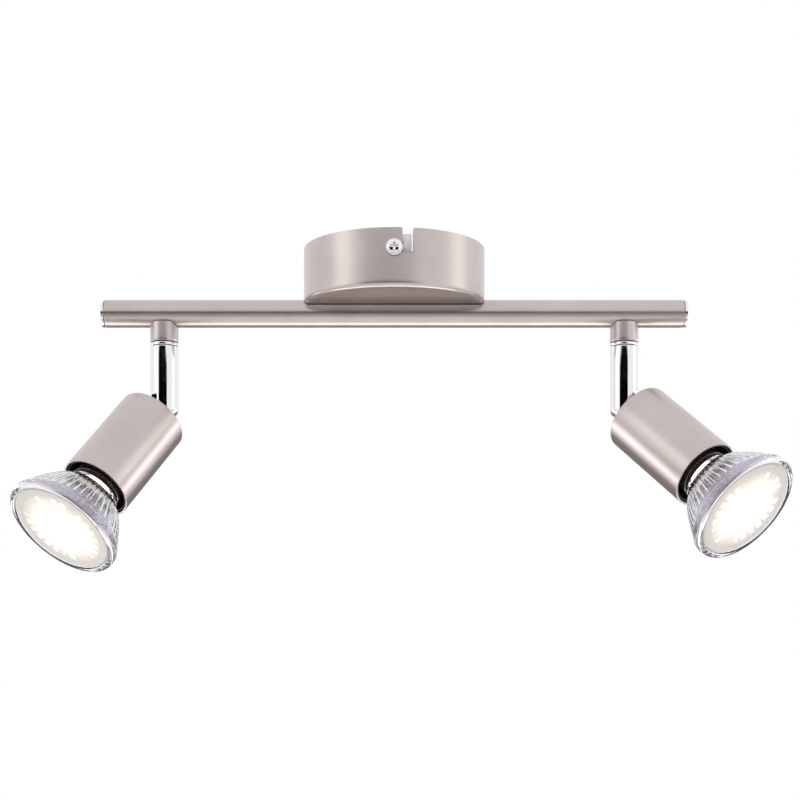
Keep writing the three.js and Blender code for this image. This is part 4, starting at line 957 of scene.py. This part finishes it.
def front_lens(sides=624):
    """The front optic: a flat satin face, a ring of raised rectangular facets behind it and a shallow
    bowl in the middle. Heights behind the face are a function of radius and angle."""
    angle = np.linspace(0, 2 * math.pi, sides, endpoint=False)
    edge = LAMP_RADIUS - LENS_INSET
    face = LAMP_FACE + 0.2
    r = np.concatenate([np.linspace(0, edge - 0.3, 30), [edge, edge], np.linspace(edge - 0.2, 0, 70)])
    front = np.arange(len(r)) < 31
    z = np.where(front, face, face + 1.5)
    z[30] = face + 0.3
    z[31] = face + 1.2
    back = (np.arange(len(r)) > 31)[:, None]
    ring = (np.abs(r / LAMP_RADIUS - FACET_RING) < FACET_REACH)[:, None] & back
    gap = np.abs(((angle * FACETS / (2 * math.pi) + 0.5) % 1) - 0.5) < 0.34
    step = 0.8 * (ring & gap)
    bowl = np.where(back, 1.2 * np.clip(1 - (r[:, None] / 11) ** 2, 0, None), 0)
    height = z[:, None] + step + bowl
    return closed(np.stack([r[:, None] * np.cos(angle), r[:, None] * np.sin(angle),
                            np.broadcast_to(height, (len(r), sides))], -1))


def light_source():
    """The round board with a low dome of phosphor on it."""
    back = GLASS_TOP - 2.9
    front = back - 1.6
    edge = BASE_RADIUS - 1.3
    crown = dome(5.8, -1.2, front)
    return np.concatenate([[(0, back)], rounded([(edge - 1, back), (edge, back), (edge, front), (5.9, front)],
                                               0.15, 3), crown])


def reflector(sides=312):
    """An open cone between light source and lens: its radius follows the flare inside the glass, and
    24 flat facets run down it."""
    angle = np.linspace(0, 2 * math.pi, sides, endpoint=False)
    back = GLASS_TOP - 4.8
    front = LAMP_FACE + 2.6
    z = np.linspace(back, front, 24)
    share = (back - z) / (back - front)
    outer = BASE_RADIUS - 1.7 + (LAMP_RADIUS - 4.6 - BASE_RADIUS + 1.7) * share ** 0.65
    r = np.concatenate([outer, outer[::-1] - 0.8, outer[:1]])
    z = np.concatenate([z, z[::-1], z[:1]])
    facet = ((angle * 24 / (2 * math.pi)) % 1 - 0.5) ** 2 * 1.6
    wide = r[:, None] - facet * (0.4 + 0.6 * r[:, None] / LAMP_RADIUS) * 0.6
    return closed(np.stack([wide * np.cos(angle), wide * np.sin(angle), np.repeat(z[:, None], sides, 1)], -1))


def lamp_pin():
    """A stud with a wide, rounded head."""
    return rounded([(0, -3), (1.5, -3), (1.5, 4.2, 0.1), (2.4, 4.2, 0.15), (2.4, 7.2, 0.6), (0, 7.2)], 0.1, 4)


def build_lamp(side, screw_side):
    """All new pieces of one lamp, on their bodies."""
    at = lamp_places(side)
    across = at["arm"].to_3x3() @ Vector((0, screw_side, 0))
    heading = at["arm"].to_3x3() @ Vector((1, 0, 0))
    screw_place = axes(heading, across.cross(heading), across, Vector(JOINTS[f"{side}_tilt"]["pos_m"]))
    fixed, arm, head, bulb = "canopy_and_bar", f"{side}_arm", f"{side}_head", f"{side}_bulb"
    table = [
        ("collar", [sleeve()], "post", fixed, "satin_nickel", "sleeve"),
        ("swivel_washer", [spun(swivel_ring())], "arm", arm, "polished_chrome", "swivel_ring"),
        ("tilt_flange", [spun(tongue_flange())], "head", head, "steel_hardware", None),
        ("spot_shell", [spun(housing(), 192)], "head", head, "satin_nickel", "housing"),
        ("spot_lining", [spun(lining(), 160)], "head", head, "black_lining", "liner"),
        ("lamp_base", [spun(lamp_base(), 160)], "bulb", bulb, "dark_base_glass", "bulb_base"),
        ("lamp_glass", [flared_glass()], "bulb", bulb, "clear_glass", "bulb_glass"),
        ("light_source", [spun(light_source(), 96)], "bulb", bulb, "led_board", "led_board"),
        ("lamp_reflector", [reflector()], "bulb", bulb, "mirror_plastic", "reflector"),
    ]
    for name, grids, where, body, slot_name, node in table:
        mesh = mesh_of(name, grids, at[where])
        nodes = [f"{side}_{node}"] if node else []
        made(f"{side}_{name}", mesh, body, slot_name, FINISH[slot_name], nodes)
    made(f"{side}_post", mesh_of("post", slotted_arm(screw_side), at["arm"]), arm, "polished_chrome",
         FINISH["polished_chrome"], [f"{side}_arm"], edge=0.1)
    made(f"{side}_tilt_screw", mesh_of("screw", [pivot_screw()], screw_place), arm, "steel_hardware",
         FINISH["steel_hardware"], [f"{side}_pivot_screw"])
    made(f"{side}_tilt_plate", mesh_of("plate", tongue_plate(), at["head"]), head, "steel_hardware",
         FINISH["steel_hardware"], [f"{side}_hinge_tongue"])
    made(f"{side}_front_lens", mesh_of("lens", [front_lens()], at["bulb"]), bulb, "clear_glass",
         LENS_FINISH, [f"{side}_bulb_lens"])
    for letter, offset in (("a", -5), ("b", 5)):
        shift = Matrix.Translation(Vector((offset * MM, 0, 0)))
        made(f"{side}_contact_pin_{letter}", mesh_of("pin", [spun(lamp_pin(), 48)], at["bulb"] @ shift), bulb,
             "steel_hardware", FINISH["steel_hardware"], [f"{side}_bulb_pin_{letter}"])
    softened(f"{side}_lamp_holder", head, "white_ceramic", FINISH["white_ceramic"], 0.2, f"{side}_socket")
    softened(f"{side}_holder_clip", head, "zinc_plated_steel", FINISH["zinc_plated_steel"], 0.15,
             f"{side}_spring_clip")


build_lamp("left", -1)
build_lamp("right", 1)


# ---------------------------------------------------------------- stage, lights and camera

def flat_card(name, width, height, centre, facing, colour, strength=0.0):
    """A flat card standing at centre and facing a point; with a strength it is a soft box."""
    grid = np.array([[(-width / 2, -height / 2, 0), (width / 2, -height / 2, 0)],
                     [(-width / 2, height / 2, 0), (width / 2, height / 2, 0)]])
    ahead = (Vector(facing) - Vector(centre)).normalized()
    sideways = UP.cross(ahead).normalized() if abs(ahead.z) < 0.99 else Vector((1, 0, 0))
    place = axes(sideways, ahead.cross(sideways), ahead, Vector(centre))
    mesh = mesh_of(name, [grid / MM], place)
    material, tree, shader = begin(name, {"Base Color": linear(colour), "Roughness": 1.0,
                                          "Specular IOR Level": 0.0, "Emission Color": linear("#ffffff"),
                                          "Emission Strength": strength})
    mesh.materials.append(material)
    obj = bpy.data.objects.new(name, mesh)
    bpy.context.collection.objects.link(obj)
    return obj


FOCUS = (0, 0, -0.06)


def toward(azimuth, elevation, distance):
    """A place seen from the fixture at those angles: azimuth from the front, elevation from level."""
    turn, rise = math.radians(azimuth), math.radians(elevation)
    flat = distance * math.cos(rise)
    return Vector(FOCUS) + Vector((
        flat * math.sin(turn), -flat * math.cos(turn), distance * math.sin(rise)))


def soft_box(name, azimuth, elevation, distance, width, height, radiance):
    """A soft light of that radiance (white is 1) turned to the fixture."""
    data = bpy.data.lights.new(name, "AREA")
    data.shape = "RECTANGLE"
    data.size, data.size_y = width, height
    data.energy = radiance * math.pi * width * height
    box = bpy.data.objects.new(name, data)
    box.location = toward(azimuth, elevation, distance)
    box.rotation_euler = (Vector(FOCUS) - box.location).to_track_quat("-Z", "Y").to_euler()
    bpy.context.collection.objects.link(box)
    return box


flat_card("floor", 8, 8, (0, 0, -1.1), (0, 0, 0), "#f0f0f0", 0.2)
flat_card("dark_front_card", 1.56, 0.44, toward(-8, 1.5, 1.2), FOCUS, "#060505")
flat_card("grey_front_card", 2.0, 0.5, toward(-4, -22, 1.22), FOCUS, "#c4c1bf")
low_back_card = flat_card("low_back_card", 1.8, 0.9, toward(180, -28, 1.0), FOCUS, "#8a8684")
low_back_card.visible_camera = False
soft_box("left_box", -66, 18, 1.2, 0.5, 0.7, 0.6)
soft_box("right_box", 86, 18, 1.2, 0.5, 0.7, 0.6)
soft_box("low_left_box", -112, -13, 1.2, 0.36, 0.4, 1.8)
soft_box("low_right_box", 110, -5, 1.2, 0.36, 0.4, 1.8)
soft_box("under_box", 180, -76, 0.4, 0.9, 0.07, 3)

world = bpy.data.worlds.new("studio")
world.use_nodes = True
world.node_tree.nodes["Background"].inputs["Color"].default_value = (1, 1, 1, 1)
world.node_tree.nodes["Background"].inputs["Strength"].default_value = 1.0
bpy.context.scene.world = world
bpy.context.scene.view_settings.view_transform = "Standard"

camera_data = bpy.data.cameras.new("camera")
camera_data.lens = 62.8
camera_data.shift_x = 0.0072
camera_data.shift_y = 0.2505
camera_data.clip_start = 0.01
camera = bpy.data.objects.new("camera", camera_data)
camera.location = (0, -0.62, -0.1552)
camera.rotation_euler = (math.radians(90), 0, 0)
bpy.context.collection.objects.link(camera)
bpy.context.scene.camera = camera
